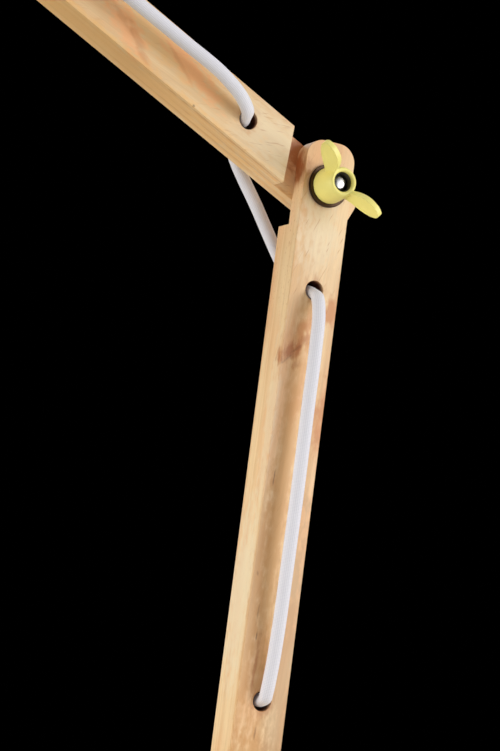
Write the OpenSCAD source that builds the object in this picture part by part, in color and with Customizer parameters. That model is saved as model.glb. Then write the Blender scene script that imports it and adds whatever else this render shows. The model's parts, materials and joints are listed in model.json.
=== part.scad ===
// Wooden table lamp: two lapped pine arms on a weighted base, held by wing nuts, threaded by a textile cord.
// Millimetres. The front faces look towards -Y, +Z is up, and the origin is under the middle of the base.

/* [Arms] */
// Width of the wooden bars, across their front faces
arm_w = 25; // [22:1:30]
// Depth of the wooden bars, front to back
arm_d = 20; // [18:1:24]
// Lower arm, pivot to pivot
lower_arm_l = 300; // [280:5:340]
// Upper arm, pivot to pivot
upper_arm_l = 300; // [280:5:340]
// Head bar, from its pivot to its plain end
head_bar_l = 78; // [74:1:100]
// Length of a lap beyond its pivot
lap_end = 21; // [18:0.5:24]
// Corner radius of a lap's end
lap_corner_r = 8.5; // [4:0.5:10]
// Slant of the shoulders at the elbow and the head
shoulder_slant = 21.6; // [0:0.1:24]
// Room between a lap's end and the shoulder that it turns past
shoulder_clear = 0.7; // [0.4:0.1:2]
// Gap between the two faces of a lap
lap_clear = 0.2; // [0.1:0.05:0.4]

/* [Rest pose] */
// Lean of the lower arm to the right of upright
lower_lean = 8.24; // [0:0.01:16]
// Rise of the upper arm above level, to the left
upper_rise = 34; // [20:0.5:45]

/* [Pivots] */
// Bolt diameter
bolt_d = 8; // [6:1:8]
// Radial clearance of the turning parts on the bolt
bolt_clear = 0.06; // [0.02:0.01:0.1]
// Diameter of the bolt's domed head
bolt_head_d = 20; // [16:0.5:22]
// Height of the bolt's domed head
bolt_head_h = 4.9; // [3:0.1:6]
// Length of the square neck under the head
bolt_neck_l = 5; // [3:0.5:7]
// How far the bolt's end lies inside the nut
bolt_recess = 3.6; // [1:0.1:6]
// Washer diameter
washer_d = 20; // [18:0.5:24]
// Washer thickness
washer_t = 1.6; // [1:0.1:2.5]
// Hub diameter of the wing nut at the washer
nut_base_d = 16.8; // [16:0.1:19]
// Hub diameter of the wing nut at its front
nut_front_d = 13.2; // [12:0.1:15]
// Hub height of the wing nut
nut_h = 14; // [12:0.5:17]
// Span of the wings, tip to tip
wing_span = 42.6; // [40:0.2:50]
// Width of a wing across its round tip
wing_w = 9.4; // [8:0.2:12]
// Height of the middle of a wing's tip above the washer
wing_rise = 19.8; // [18:0.1:25]
// Thickness of a wing
wing_t = 2.8; // [2:0.1:3.6]

/* [Cord] */
// Cord diameter
cord_d = 6.1; // [5.8:0.1:6.6]
// Diameter of the cord's holes in the bars
cord_hole_d = 9; // [8.6:0.1:11]
// Elbow pivot to the near cord hole, on both arms
hole_near = 49; // [47:0.5:52]
// Elbow pivot to the far cord hole, on both arms
hole_far = 236; // [233:0.5:239]

/* [Base] */
// Diameter of the base disc
base_d = 180; // [172:2:220]
// Thickness of the base disc
base_t = 26; // [25:0.5:32]
// Thickness of the felt under the base
felt_t = 2; // [1.5:0.1:3]
// How far the felt stays inside the edge of the base
felt_inset = 4; // [2:0.5:8]
// Diameter of the steel ballast plate
ballast_d = 148; // [136:2:152]
// Thickness of the steel ballast plate
ballast_t = 8; // [6:0.5:8.5]
// Side room of the ballast plate in its recess
ballast_clear = 1; // [0.5:0.1:2]
// Base top to the lowest pivot
post_rise = 44; // [42:1:60]
// Depth of the post's foot in the base disc
mortise_h = 8; // [6:0.5:9]
// Side room of the post's foot
mortise_clear = 0.1; // [0.05:0.05:0.3]
// Wood screw shank diameter
screw_d = 4; // [3:0.5:5]
// Wood screw head diameter
screw_head_d = 8; // [6:0.5:9]
// Wood screw head height
screw_head_h = 2.5; // [1.5:0.1:3]
// Room round a fixed screw, tube or sleeve
fixed_clear = 0.1; // [0.05:0.05:0.2]

/* [Cord outlet] */
// Middle of the cord's bush behind the middle of the base
bush_y = 20; // [19:0.5:22]
// Flange diameter of the bush
bush_flange_d = 14; // [13:0.5:16]
// Flange thickness of the bush
bush_flange_t = 2; // [1:0.1:3]
// Wall of the bush's sleeve
bush_wall = 1.4; // [1:0.1:2]
// Height of the cord's middle at the back of the base
outlet_z = 7; // [6.8:0.1:7.4]
// Length of the strain relief outside the base
relief_l = 26; // [20:1:40]
// Length of the strain relief inside the base
relief_in = 14; // [8:1:20]
// Wall of the strain relief at the base
relief_wall = 1.5; // [1:0.1:1.5]
// Wall of the strain relief at its thin end
relief_end_wall = 0.6; // [0.4:0.1:1]
// Room between the cord and the sleeves round it
cord_clear = 0.2; // [0.1:0.05:0.4]

/* [Lamp head] */
// Head pivot to the middle of the lamp
nipple_set = 56; // [54:0.5:60]
// Diameter of the threaded tube that carries the lampholder
nipple_d = 10; // [8:0.5:12]
// Bore of the threaded tube
nipple_bore = 7; // [5:0.5:7.5]
// Depth of the threaded tube in the head bar
nipple_in = 8; // [6:0.5:8.5]
// Thickness of the lock nut under the head bar
nipple_nut_t = 3; // [2:0.5:5]
// Width of the lock nut across its corners
nipple_nut_d = 19; // [16:0.5:22]
// Outer diameter of the lampholder cap
holder_d = 38; // [36:0.5:42]
// Height of the lampholder cap
holder_cap_h = 24; // [22:1:30]
// Length of the lampholder body
holder_body_l = 35; // [32:1:40]
// Wall of the lampholder
holder_wall = 3; // [2.5:0.1:3.2]
// Diameter of the lampholder flange and of its ring
holder_flange_d = 50; // [46:1:56]
// Thickness of the lampholder flange
holder_flange_t = 3; // [2:0.5:4]
// Height of the lampholder ring
holder_ring_h = 8; // [6:0.5:12]
// Thickness of the lampholder's insulating insert
insert_t = 9; // [8:0.5:11]
// Diameter of the lamp's screw cap
lamp_cap_d = 26.4; // [26:0.1:26.6]
// Length of the lamp's screw cap
lamp_cap_l = 24; // [22:0.5:27]
// Sheet thickness of the lamp's cap and of the holder's sleeve
sleeve_t = 0.8; // [0.5:0.1:1]
// Diameter of the glass bulb
bulb_d = 60; // [50:1:66]
// Length of the glass bulb beyond its cap
bulb_l = 80; // [74:1:90]
// Wall of the glass bulb
bulb_wall = 1; // [0.8:0.1:1.4]
// Diameter of the shade at its rim
shade_d = 170; // [150:2:200]
// Diameter of the shade's flat top
shade_top_d = 72; // [64:1:90]
// Height of the shade
shade_h = 120; // [112:1:140]
// Sheet thickness of the shade
shade_wall = 1; // [0.8:0.1:1.6]
// Radius of the rolled rim of the shade
shade_rim_r = 1.6; // [1.2:0.1:2.5]

/* [Switch] */
// Length of the cord switch
switch_l = 70; // [68:1:80]
// Width of the cord switch
switch_w = 28; // [26:1:34]
// Height of the lower half of the switch
switch_low_h = 9; // [8.6:0.1:10]
// Height of the upper half of the switch
switch_high_h = 10; // [9.5:0.5:12]
// Wall of the switch
switch_wall = 2; // [1.6:0.1:2.4]
// Radius of the rocker's round ends about its pivot
rocker_r = 11.7; // [10.5:0.1:13]
// Width of the rocker
rocker_w = 11; // [9:0.5:12]
// Tilt of the rocker at either end of its travel
rocker_tilt = 9; // [6:0.5:10]
// Diameter of the rocker's pivot pins
rocker_pin_d = 3; // [2.5:0.1:3.5]
// Room between the rocker and its window
rocker_clear = 0.5; // [0.3:0.1:0.8]

/* [Plug] */
// Length of the plug body
plug_l = 32; // [28:1:40]
// Width of the plug body at its face
plug_w = 34; // [30:1:38]
// Thickness of the plug body
plug_t = 14; // [13:0.5:16]
// Width of the plug body at the cord
plug_back_w = 14; // [12:0.5:18]
// Pin diameter of the plug
plug_pin_d = 4; // [3.8:0.1:4.8]
// Pin length outside the plug
plug_pin_l = 19; // [17:0.5:20]
// Spacing of the plug's pins
plug_pin_gap = 18.6; // [17:0.1:20]
// Length of the plug's tapered sleeve
plug_sleeve_l = 22; // [20:1:30]

/* [Coil] */
// Turns of the coil in each of its two layers
coil_turns = 3; // [2:1:4]
// Radius of the coil's outer turn, at the middle of the cord
coil_r = 46; // [44:1:50]
// Gap between neighbouring turns
coil_gap = 0.7; // [0.5:0.1:1.2]
// Width of the strap that ties the coil
tie_w = 12; // [8:1:20]
// Thickness of the strap that ties the coil
tie_t = 0.7; // [0.5:0.1:0.9]
// Room between the strap and the cord
tie_clear = 0.2; // [0.1:0.05:0.4]

/* [Hidden] */

$fn = 64;
over = 1;

pine = "burlywood";
pine_light = "wheat";
lemon = "khaki";
bronze = "dimgray";
steel = "silver";
braid = "whitesmoke";
white_shell = "white";
brass = "goldenrod";

// Reach of a lap's rounded end from its pivot, and the shoulder that lets it pass
lap_reach = norm([lap_end - lap_corner_r, arm_w / 2 - lap_corner_r]) + lap_corner_r;
slant_set = (lap_reach + shoulder_clear) / cos(shoulder_slant);
square_set = lap_reach + shoulder_clear;

// Heights of the base, and the pivots at rest
base_top = felt_t + base_t;
base_r = base_d / 2;
ballast_top = felt_t + ballast_t;
base_pivot = [0, 0, base_top + post_rise];
lower_turn = lower_lean + 180;
upper_turn = upper_rise - 90;
head_turn = -90;
elbow = base_pivot - turned([0, 0, lower_arm_l], lower_turn);
head_pivot = elbow + turned([0, 0, upper_arm_l], upper_turn);

// Bolts, washers and nuts
bolt_l = arm_d + washer_t + nut_h - bolt_recess;
bolt_hole_d = bolt_d + 2 * bolt_clear;
dome_r = (pow(bolt_head_d / 2, 2) + pow(bolt_head_h, 2)) / (2 * bolt_head_h);
mouth_flare = 0.75;
mouth_d = bolt_d + 2 * mouth_flare;
washer_clear = 0.2;
wing_tip = wing_span / 2 - wing_w / 2;
wing_edge_turn = 40;
wing_root = bolt_d / 2 + over;
wing_foot = 3;
wing_heel = 8;
wing_belly = 5.2;
wing_sag = 2.3;
wing_crotch = 3.2;
wing_neck = 2.4;
wing_seat = 2;
base_nut_turn = 20;
elbow_nut_turn = 130.5;
head_nut_turn = 75;

// Outlet of the base
sleeve_d = cord_d + 2 * cord_clear;
relief_d = sleeve_d + 2 * relief_wall;
groove_w = relief_d + 2 * fixed_clear;
pocket_top = base_top - mortise_h;
pocket_l = 24;
bush_d = sleeve_d + 2 * bush_wall;
ballast_screw_n = 3;
ballast_screw_turn = 30;
ballast_screw_in = 25;
ballast_screw_r = ballast_d / 2 - ballast_screw_in;
ballast_screw_grip = 10;
post_screw_set = arm_w / 4;
post_screw_grip = 24;
screw_tip_room = 1;

// Lamp head, along the lamp's axis from the underside of the head bar
cap_from = nipple_nut_t;
nipple_out = 8;
nipple_l = nipple_in + cap_from + nipple_out;
body_from = cap_from + holder_cap_h;
body_d = holder_d + 1;
shade_from = body_from + holder_flange_t;
ring_from = shade_from + shade_wall;
insert_to = body_from + insert_t;
insert_lip = 0.8;
contact_d = 8;
contact_t = 2;
holder_crown_d = 23.6;
holder_slope_h = 9.6;
holder_floor = holder_wall + 1;
holder_fillet = 1;
lamp_button_h = 4;
lamp_chamfer = 1;
lamp_from = insert_to + contact_t;
lamp_shell_from = lamp_from + lamp_button_h;
glass_from = lamp_from + lamp_cap_l;
glass_in = 6;
neck_r = lamp_cap_d / 2 - sleeve_t - fixed_clear;
bulb_cone = 40;
lead_d = 2.2;
lead_gap = 3.2;
lead_top = arm_w / 2;

// Cord switch
switch_at = [-95, 173, 0];
switch_h = switch_low_h + switch_high_h;
switch_cord_z = 8.5;
rocker_deep = 5;
rocker_z = switch_h - rocker_deep;
rocker_proud = 2;
rocker_dish = 1;
rocker_side = 1;
rocker_keel = 3;
rocker_half = rocker_r + rocker_clear;
lug_t = 2.5;
lug_w = 6;
pin_l = rocker_w + 2 * (rocker_clear + lug_t);
switch_screw_in = 7;
switch_screw_set = switch_l / 2 - switch_screw_in;
switch_screw_d = 3;
switch_boss_wall = 1.5;
switch_boss_d = switch_screw_d + 2 * switch_boss_wall;
switch_bore_l = switch_h - switch_wall - screw_tip_room;
terminal = [8, 6, 4];
terminal_set = 18;

// Plug
plug_at = [-262, 158, 7];
plug_turn = 206;
plug_pin_in = 8;
plug_taper_l = 17.6;
plug_sleeve_step = 1.5;
pin_tip_l = 1;
pin_tip_cut = 0.75;

// Cord routes on the lower arm, from the elbow: across to the left, back, and down the arm
lower_route = [
    [0, 0, 49], [0, -5, 49.3], [0, -9.7, 49.9], [0, -12.6, 51.2], [0, -15.2, 54.4], [0, -17.2, 60],
    [0, -18.4, 76], [0, -18.3, 102], [0, -18.3, 140], [0, -17.6, 178], [-0.2, -16.4, 204],
    [-0.1, -14.9, 222], [0.2, -13.8, 231.2], [0.1, -12.2, 235.2], [0, -9.7, 236.4], [0, -5, 236], [0, 0, 236]
];
elbow_route_low = [
    [8, 16, 31.7], [3.4, 15.5, 38.4], [0.9, 13.9, 43.8], [0.3, 12.5, 46.9], [0, 9.7, 48.2], [0, 5, 48.7],
    [0, 0, 49]
];
base_route_high = [
    [0, 0, 236], [0, 5, 236], [0, 11.5, 236.8], [0, 16.5, 241.5], [0, 18.5, 248]
];

// Cord routes on the upper arm, from the elbow: across to its top edge, back, and up the arm
upper_route = [
    [0, 0, 49], [0, -5, 49.3], [0.2, -9.7, 49.9], [0.8, -12.6, 51.2], [1.6, -15.4, 54.4], [3, -18, 60.5],
    [4.3, -19.3, 70], [4.3, -19.7, 96], [3.6, -20.4, 123], [2.6, -20.6, 150], [1.8, -19.6, 180],
    [1, -17.4, 206], [0.5, -14.3, 224], [0.4, -13.7, 230.6], [0.2, -12.4, 234], [0, -9.7, 235.2],
    [0, -5, 236], [0, 0, 236]
];
elbow_route_high = [
    [0, 0, 49], [0, 5, 48.7], [-0.2, 9.7, 48.3], [-1, 12.4, 47], [-2.9, 14.2, 44.4], [-5.2, 15.8, 40.5],
    [-20.3, 16.2, 13.9]
];
head_route_low = [
    [0, 0, 236], [0, 5, 236], [-0.5, 10.5, 237], [-1.5, 14.5, 240.5], [-3, 16, 245.5],
    [-16, 16.5, 292]
];

// Cord route into the head bar: up, back, and out along the bar
head_route_high = [
    [-3, 16, 46.5], [-1.5, 14.5, 52], [0, 10.5, 55.5], [0, 5, 57], [0, 2, 57]
];

// Cord routes at the base and on the table
base_route_low = [
    [6, 20, 104], [3.5, 20.5, 84], [1.5, 20.5, 62], [0, 20, 44], [0, 20, 30]
];
inner_route = [
    [0, 20, 30], [0, 20, 18], [0, 21.5, 12.5], [0, 25.5, 8.5], [0, 31, 7], [0, 50, 7], [0, 72, 7],
    [0, 94, 7], [0, 116, 7]
];
lead_route = [
    [0, 116, 7], [0, 121, 7], [0, 129, 6], [-1, 138, 5], [-4, 150, 3.8], [-12, 163, 3.3], [-24, 171, 3.8],
    [-38, 173, 6], [-50, 173, 8], [-58, 173, 8.5], [-68, 173, 8.5]
];
link_route = [
    [-122, 173, 8.5], [-132, 173, 8.5], [-142, 173, 7.5], [-156, 173, 5.3], [-172, 173, 3.95],
    [-182, 173, 3.95], [-193.9, 173, 3.95]
];
tail_route = [
    [-206.1, 173, 10.75], [-212, 173, 10.75], [-221, 172.5, 10], [-234, 170.5, 8.3], [-248, 165, 7],
    [-262, 158, 7]
];

// Coil
coil_from = [-200, 173, 3.95];
coil_step = cord_d + coil_gap;
coil_rings = 24;
coil_sides = 6;
cord_sides = 10;
coil_all = 2 * coil_turns * coil_rings;
coil_mid = coil_from - [0, coil_r, 0];

// A point turned about the Y axis, as the bars are
function turned(p, a) = [p.x * cos(a) + p.z * sin(a), p.y, p.z * cos(a) - p.x * sin(a)];

// A route given in a bar's own frame, in the lamp's frame
function laid(route, at, a) = [for (p = route) at + turned(p, a)];

// Height of the coil at ring k: one layer, then a climb over the half turn where the spiral turns back
function coil_climb(k) = min(1, max(0, (k - coil_all / 2 + coil_rings / 4) / (coil_rings / 2)));

// Middle of the cord at ring k of the coil, which winds in on one layer and out on the next
function coil_point(k) =
    let (a = 90 + 360 * k / coil_rings)
    let (r = coil_r - coil_step * (coil_all / 2 - abs(k - coil_all / 2)) / coil_rings)
    coil_mid + [r * cos(a), r * sin(a), coil_step * coil_climb(k)];

coil_path = concat(
    [coil_from + [cord_d, 0, 0]],
    [for (k = [0:coil_all]) coil_point(k)],
    [coil_from + [-cord_d, 0, coil_step]]
);

// Least gap between turns of the coil, on the points of its middle line
coil_least = min([
    for (i = [0:coil_all], j = [i + coil_rings / 2:1:coil_all])
        norm(coil_point(i) - coil_point(j)) - cord_d
]);

// Direction of a route at point i
function heading(route, i) =
    let (d = route[min(i + 1, len(route) - 1)] - route[max(i - 1, 0)])
    d / norm(d);

// A side direction carried along to the next heading without twist
function carried(side, t) = let (s = side - t * (side * t)) s / norm(s);
function first_side(t) = carried(abs(t.y) < norm([t.x, t.z]) ? [0, 1, 0] : [1, 0, 0], t);
function sides_of(route) = [
    for (i = 0, s = first_side(heading(route, 0)); i < len(route);
        i = i + 1, s = i < len(route) ? carried(s, heading(route, i)) : s) s
];

// A round tube swept along a route, as one closed solid of triangles
module tube(route, d, sides) {
    side = sides_of(route);
    last = len(route) - 1;
    points = [
        for (i = [0:last], k = [0:sides - 1])
            let (t = heading(route, i), a = 360 * k / sides)
            route[i] + d / 2 * (side[i] * cos(a) + cross(t, side[i]) * sin(a))
    ];
    walls = [
        for (i = [0:last - 1], k = [0:sides - 1])
            let (a = i * sides + k, b = i * sides + (k + 1) % sides)
            each [[a, a + sides, b], [b, a + sides, b + sides]]
    ];
    ends = [
        for (k = [1:sides - 2])
            each [[0, k, k + 1], [last * sides, last * sides + k + 1, last * sides + k]]
    ];
    polyhedron(points, concat(walls, ends), convexity = 4);
}

// The frame of a bar that starts at a pivot and turns about the Y axis
module on_bar(at, a) {
    translate(at) rotate([0, a, 0]) children();
}

// A flat outline with rounded ends at the pivots, drawn across and along the bar
module bar_outline(from, to, low_r, high_r) {
    half = arm_w / 2;
    translate([-half, from + low_r]) square([arm_w, to - from - low_r - high_r]);
    for (s = [-1, 1]) {
        if (low_r > 0) translate([s * (half - low_r), from + low_r]) circle(low_r);
        if (high_r > 0) translate([s * (half - high_r), to - high_r]) circle(high_r);
    }
    translate([-(half - low_r), from]) square([arm_w - 2 * low_r, low_r + over]);
    translate([-(half - high_r), to - high_r - over]) square([arm_w - 2 * high_r, high_r + over]);
}

// A bar cut to that outline, through its whole depth
module bar_blank(from, to, low_r, high_r) {
    rotate([90, 0, 0]) linear_extrude(arm_d, center = true) bar_outline(from, to, low_r, high_r);
}

// What a lap loses: one half of the depth, from the lap's end to its shoulder (side 1 is the back)
module lap_waste(side, set, slant) {
    half = arm_w / 2 + over;
    rise = half * tan(slant);
    depth = arm_d / 2 + lap_clear / 2 + over;
    at = side > 0 ? -arm_d / 2 - over : lap_clear / 2;
    translate([0, -at, 0]) rotate([90, 0, 0]) linear_extrude(depth) polygon([
        [-half, -lap_end - over], [half, -lap_end - over], [half, set + rise], [-half, set - rise]
    ]);
}

// A hole through the depth of a bar
module cross_hole(z, d) {
    translate([0, 0, z]) rotate([90, 0, 0]) cylinder(d = d, h = arm_d + 2 * over, center = true);
}

// The square seat of a bolt's neck in the back of a bar
module neck_seat(z) {
    w = bolt_d + 2 * fixed_clear;
    translate([-w / 2, arm_d / 2 - bolt_neck_l - fixed_clear, z - w / 2])
        cube([w, bolt_neck_l + fixed_clear + over, w]);
}

// A coach bolt with its axis along Y, its domed head behind the bar
module coach_bolt() {
    color(steel) translate([0, arm_d / 2, 0]) {
        rotate([90, 0, 0]) cylinder(d = bolt_d, h = bolt_l);
        translate([-bolt_d / 2, -bolt_neck_l, -bolt_d / 2]) cube([bolt_d, bolt_neck_l, bolt_d]);
        rotate([-90, 0, 0]) rotate_extrude() intersection() {
            translate([0, bolt_head_h - dome_r]) circle(dome_r);
            square([bolt_head_d / 2, bolt_head_h]);
        }
    }
}

// A plain washer on the front of a bar
module washer() {
    color(bronze) translate([0, -arm_d / 2, 0]) rotate([90, 0, 0]) difference() {
        cylinder(d = washer_d, h = washer_t);
        translate([0, 0, -over]) cylinder(d = bolt_d + 2 * washer_clear, h = washer_t + 2 * over);
    }
}

// One wing's outline: out from the hub, and up to a round tip
module wing_outline() {
    tip = [wing_tip, wing_rise];
    edge = wing_w / 2 * [cos(wing_edge_turn), -sin(wing_edge_turn)];
    translate(tip) circle(d = wing_w);
    polygon([
        [wing_root, wing_foot], [nut_base_d / 2, wing_heel], [nut_base_d / 2 + wing_belly, nut_h - wing_sag],
        tip + edge, tip - edge, [nut_front_d / 2 + wing_crotch, wing_rise],
        [nut_front_d / 2, nut_h + wing_neck], [wing_root, nut_h - wing_seat]
    ]);
}

// A wing nut in front of its washer, its wings turned from +X towards +Z
module wing_nut(turn) {
    mouth_h = (mouth_d - bolt_hole_d) / 2;
    seat = -arm_d / 2 - washer_t;
    color(lemon) rotate([0, -turn, 0]) translate([0, seat, 0]) rotate([90, 0, 0]) difference() {
        union() {
            cylinder(d1 = nut_base_d, d2 = nut_front_d, h = nut_h);
            for (side = [0, 180])
                rotate([90, 0, side]) linear_extrude(wing_t, center = true) wing_outline();
        }
        translate([0, 0, -over]) cylinder(d = bolt_hole_d, h = nut_h + 2 * over);
        translate([0, 0, nut_h - mouth_h])
            cylinder(d1 = bolt_hole_d, d2 = mouth_d + 2 * over, h = mouth_h + over);
    }
}

// A countersunk-head wood screw pointing up, the flat of its head at the start
module wood_screw(l) {
    cylinder(d = screw_head_d, h = screw_head_h);
    cylinder(d = screw_d, h = l);
}

module wood_screw_hole(l) {
    translate([0, 0, -over]) cylinder(d = screw_head_d + 2 * fixed_clear, h = screw_head_h + over);
    cylinder(d = screw_d + 2 * fixed_clear, h = l);
}

module at_ballast_screws() {
    for (k = [1:ballast_screw_n])
        rotate(ballast_screw_turn + 360 * k / ballast_screw_n)
            translate([ballast_screw_r, 0, felt_t]) children();
}

module at_post_screws() {
    for (s = [-1, 1]) translate([s * post_screw_set, 0, ballast_top]) children();
}

module felt_pad() {
    color("gray") cylinder(d = base_d - 2 * felt_inset, h = felt_t);
}

module base_disc() {
    foot = [arm_w + 2 * mortise_clear, arm_d + 2 * mortise_clear];
    color(pine) difference() {
        translate([0, 0, felt_t]) cylinder(d = base_d, h = base_t);
        translate([0, 0, felt_t - over])
            cylinder(d = ballast_d + 2 * ballast_clear, h = ballast_t + over);
        translate([-foot.x / 2, -foot.y / 2, pocket_top]) cube([foot.x, foot.y, mortise_h + over]);
        translate([-groove_w / 2, bush_y - relief_d / 2, felt_t - over])
            cube([groove_w, base_d, outlet_z + groove_w / 2 - felt_t + over]);
        translate([-groove_w / 2, bush_y - relief_d / 2, felt_t])
            cube([groove_w, pocket_l, pocket_top - felt_t]);
        translate([0, bush_y, felt_t]) cylinder(d = bush_d + 2 * fixed_clear, h = base_t + over);
        at_ballast_screws() wood_screw_hole(ballast_t + ballast_screw_grip);
        at_post_screws() wood_screw_hole(post_screw_grip);
    }
}

module ballast_plate() {
    color(steel) difference() {
        translate([0, 0, felt_t]) cylinder(d = ballast_d, h = ballast_t);
        translate([-groove_w / 2, bush_y - relief_d / 2, felt_t - over])
            cube([groove_w, ballast_d, ballast_t + 2 * over]);
        at_ballast_screws() wood_screw_hole(ballast_t + over);
    }
}

module ballast_screws() {
    color(steel) at_ballast_screws() wood_screw(ballast_t + ballast_screw_grip - screw_tip_room);
}

module base_post() {
    color(pine) translate(base_pivot) difference() {
        bar_blank(-post_rise - mortise_h, lap_end, 0, lap_corner_r);
        mirror([0, 0, 1]) lap_waste(-1, square_set, 0);
        cross_hole(0, bolt_hole_d);
        neck_seat(0);
        translate([0, 0, -base_pivot.z]) at_post_screws() wood_screw_hole(post_screw_grip + screw_tip_room);
    }
}

module post_screws() {
    color(steel) at_post_screws() wood_screw(post_screw_grip);
}

module base_bolt() {
    translate(base_pivot) coach_bolt();
}

module base_washer() {
    translate(base_pivot) washer();
}

module base_wing_nut() {
    translate(base_pivot) wing_nut(base_nut_turn);
}

module lower_arm() {
    color(pine_light) on_bar(elbow, lower_turn) difference() {
        bar_blank(-lap_end, lower_arm_l + lap_end, lap_corner_r, lap_corner_r);
        lap_waste(1, slant_set, -shoulder_slant);
        translate([0, 0, lower_arm_l]) mirror([0, 0, 1]) lap_waste(1, square_set, 0);
        for (z = [0, lower_arm_l]) cross_hole(z, bolt_hole_d);
        for (z = [hole_near, hole_far]) cross_hole(z, cord_hole_d);
    }
}

module elbow_bolt() {
    on_bar(elbow, upper_turn) coach_bolt();
}

module elbow_washer() {
    translate(elbow) washer();
}

module elbow_wing_nut() {
    translate(elbow) wing_nut(elbow_nut_turn);
}

module upper_arm() {
    color(pine) on_bar(elbow, upper_turn) difference() {
        bar_blank(-lap_end, upper_arm_l + lap_end, lap_corner_r, lap_corner_r);
        lap_waste(-1, slant_set, shoulder_slant);
        translate([0, 0, upper_arm_l]) mirror([0, 0, 1]) lap_waste(-1, slant_set, shoulder_slant);
        for (z = [0, upper_arm_l]) {
            cross_hole(z, bolt_hole_d);
            neck_seat(z);
        }
        for (z = [hole_near, hole_far]) cross_hole(z, cord_hole_d);
    }
}

module head_bolt() {
    on_bar(head_pivot, upper_turn) coach_bolt();
}

module head_washer() {
    translate(head_pivot) washer();
}

module head_wing_nut() {
    translate(head_pivot) wing_nut(head_nut_turn);
}

// The frame of the lamp's axis, pointing out of the underside of the head bar
module on_lamp() {
    on_bar(head_pivot, head_turn) translate([-arm_w / 2, 0, nipple_set]) rotate([0, -90, 0]) children();
}

module head_bar() {
    blind = arm_d / 2 + nipple_d / 2;
    color(pine) difference() {
        on_bar(head_pivot, head_turn) difference() {
            bar_blank(-lap_end, head_bar_l, lap_corner_r, 0);
            lap_waste(1, slant_set, shoulder_slant);
            cross_hole(0, bolt_hole_d);
            translate([0, arm_d / 2 + over, nipple_set])
                rotate([90, 0, 0]) cylinder(d = cord_hole_d, h = blind);
        }
        on_lamp() translate([0, 0, -nipple_in - fixed_clear])
            cylinder(d = nipple_d + 2 * fixed_clear, h = nipple_in + fixed_clear + over);
        on_lamp() translate([0, 0, -lead_top]) cylinder(d = nipple_bore, h = lead_top);
    }
}

module holder_nipple() {
    color(brass) on_lamp() difference() {
        translate([0, 0, -nipple_in]) cylinder(d = nipple_d, h = nipple_l);
        translate([0, 0, -nipple_in - over]) cylinder(d = nipple_bore, h = nipple_l + 2 * over);
    }
}

module nipple_nut() {
    color(brass) on_lamp() difference() {
        cylinder(d = nipple_nut_d, h = nipple_nut_t, $fn = 6);
        translate([0, 0, -over]) cylinder(d = nipple_d + 2 * fixed_clear, h = nipple_nut_t + 2 * over);
    }
}

module holder_cap() {
    r = holder_d / 2;
    hub = nipple_d / 2 + fixed_clear;
    crown = holder_crown_d / 2;
    inner = r - holder_wall;
    color(white_shell) on_lamp() translate([0, 0, cap_from]) rotate_extrude() polygon([
        [hub, 0], [crown, 0], [r, holder_slope_h], [r, holder_cap_h], [inner, holder_cap_h],
        [inner, holder_slope_h + holder_fillet], [crown - holder_fillet, holder_floor], [hub, holder_floor]
    ]);
}

module holder_body() {
    r = body_d / 2;
    inner = r - holder_wall;
    color(white_shell) on_lamp() translate([0, 0, body_from]) rotate_extrude() polygon([
        [inner, 0], [holder_flange_d / 2, 0], [holder_flange_d / 2, holder_flange_t], [r, holder_flange_t],
        [r, holder_body_l], [inner - insert_lip, holder_body_l], [inner - insert_lip, insert_t],
        [inner, insert_t]
    ]);
}

module holder_ring() {
    color(white_shell) on_lamp() translate([0, 0, ring_from]) difference() {
        cylinder(d = holder_flange_d, h = holder_ring_h);
        translate([0, 0, -over]) cylinder(d = body_d + 2 * fixed_clear, h = holder_ring_h + 2 * over);
    }
}

module at_leads() {
    for (s = [-1, 1]) translate([s * lead_gap / 2, 0, 0]) children();
}

module holder_insert() {
    color("ivory") on_lamp() difference() {
        translate([0, 0, body_from]) cylinder(d = body_d - 2 * holder_wall - 2 * fixed_clear, h = insert_t);
        at_leads() translate([0, 0, body_from - over])
            cylinder(d = lead_d + 2 * fixed_clear, h = insert_t + 2 * over);
    }
}

module holder_sleeve() {
    inner = lamp_cap_d + 2 * cord_clear;
    color(brass) on_lamp() translate([0, 0, insert_to]) difference() {
        cylinder(d = inner + 2 * sleeve_t, h = lamp_cap_l);
        translate([0, 0, -over]) cylinder(d = inner, h = lamp_cap_l + 2 * over);
    }
}

module holder_contact() {
    color(brass) on_lamp() translate([0, 0, insert_to]) cylinder(d = contact_d, h = contact_t);
}

module holder_leads() {
    color("brown") on_lamp() at_leads() translate([0, 0, -lead_top])
        cylinder(d = lead_d, h = lead_top + insert_to);
}

// The shade's wall as one line, moved inwards by an inset
function shade_line(inset) =
    let (
        run = [(shade_d - shade_top_d) / 2, shade_h],
        n = [-run.y, run.x] / norm(run),
        top = shade_from + inset,
        low = shade_from + shade_h,
        edge = shade_d / 2 + inset * n.x - inset * n.y * run.x / run.y
    )
    [[edge - (low - top) * run.x / run.y, top], [edge, low]];

module shade() {
    neck = body_d / 2 + fixed_clear;
    outer = shade_line(0);
    inner = shade_line(shade_wall);
    color(lemon) on_lamp() rotate_extrude() {
        polygon([
            [neck, shade_from], outer[0], outer[1], inner[1], inner[0], [neck, shade_from + shade_wall]
        ]);
        translate((outer[1] + inner[1]) / 2) circle(shade_rim_r);
    }
}

module bulb_cap() {
    r = lamp_cap_d / 2;
    color(steel) on_lamp() rotate_extrude() polygon([
        [0, lamp_from], [contact_d / 2, lamp_from], [r - lamp_chamfer, lamp_shell_from - lamp_chamfer],
        [r, lamp_shell_from], [r, glass_from], [r - sleeve_t, glass_from], [r - sleeve_t, lamp_shell_from],
        [0, lamp_from + sleeve_t]
    ]);
}

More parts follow.
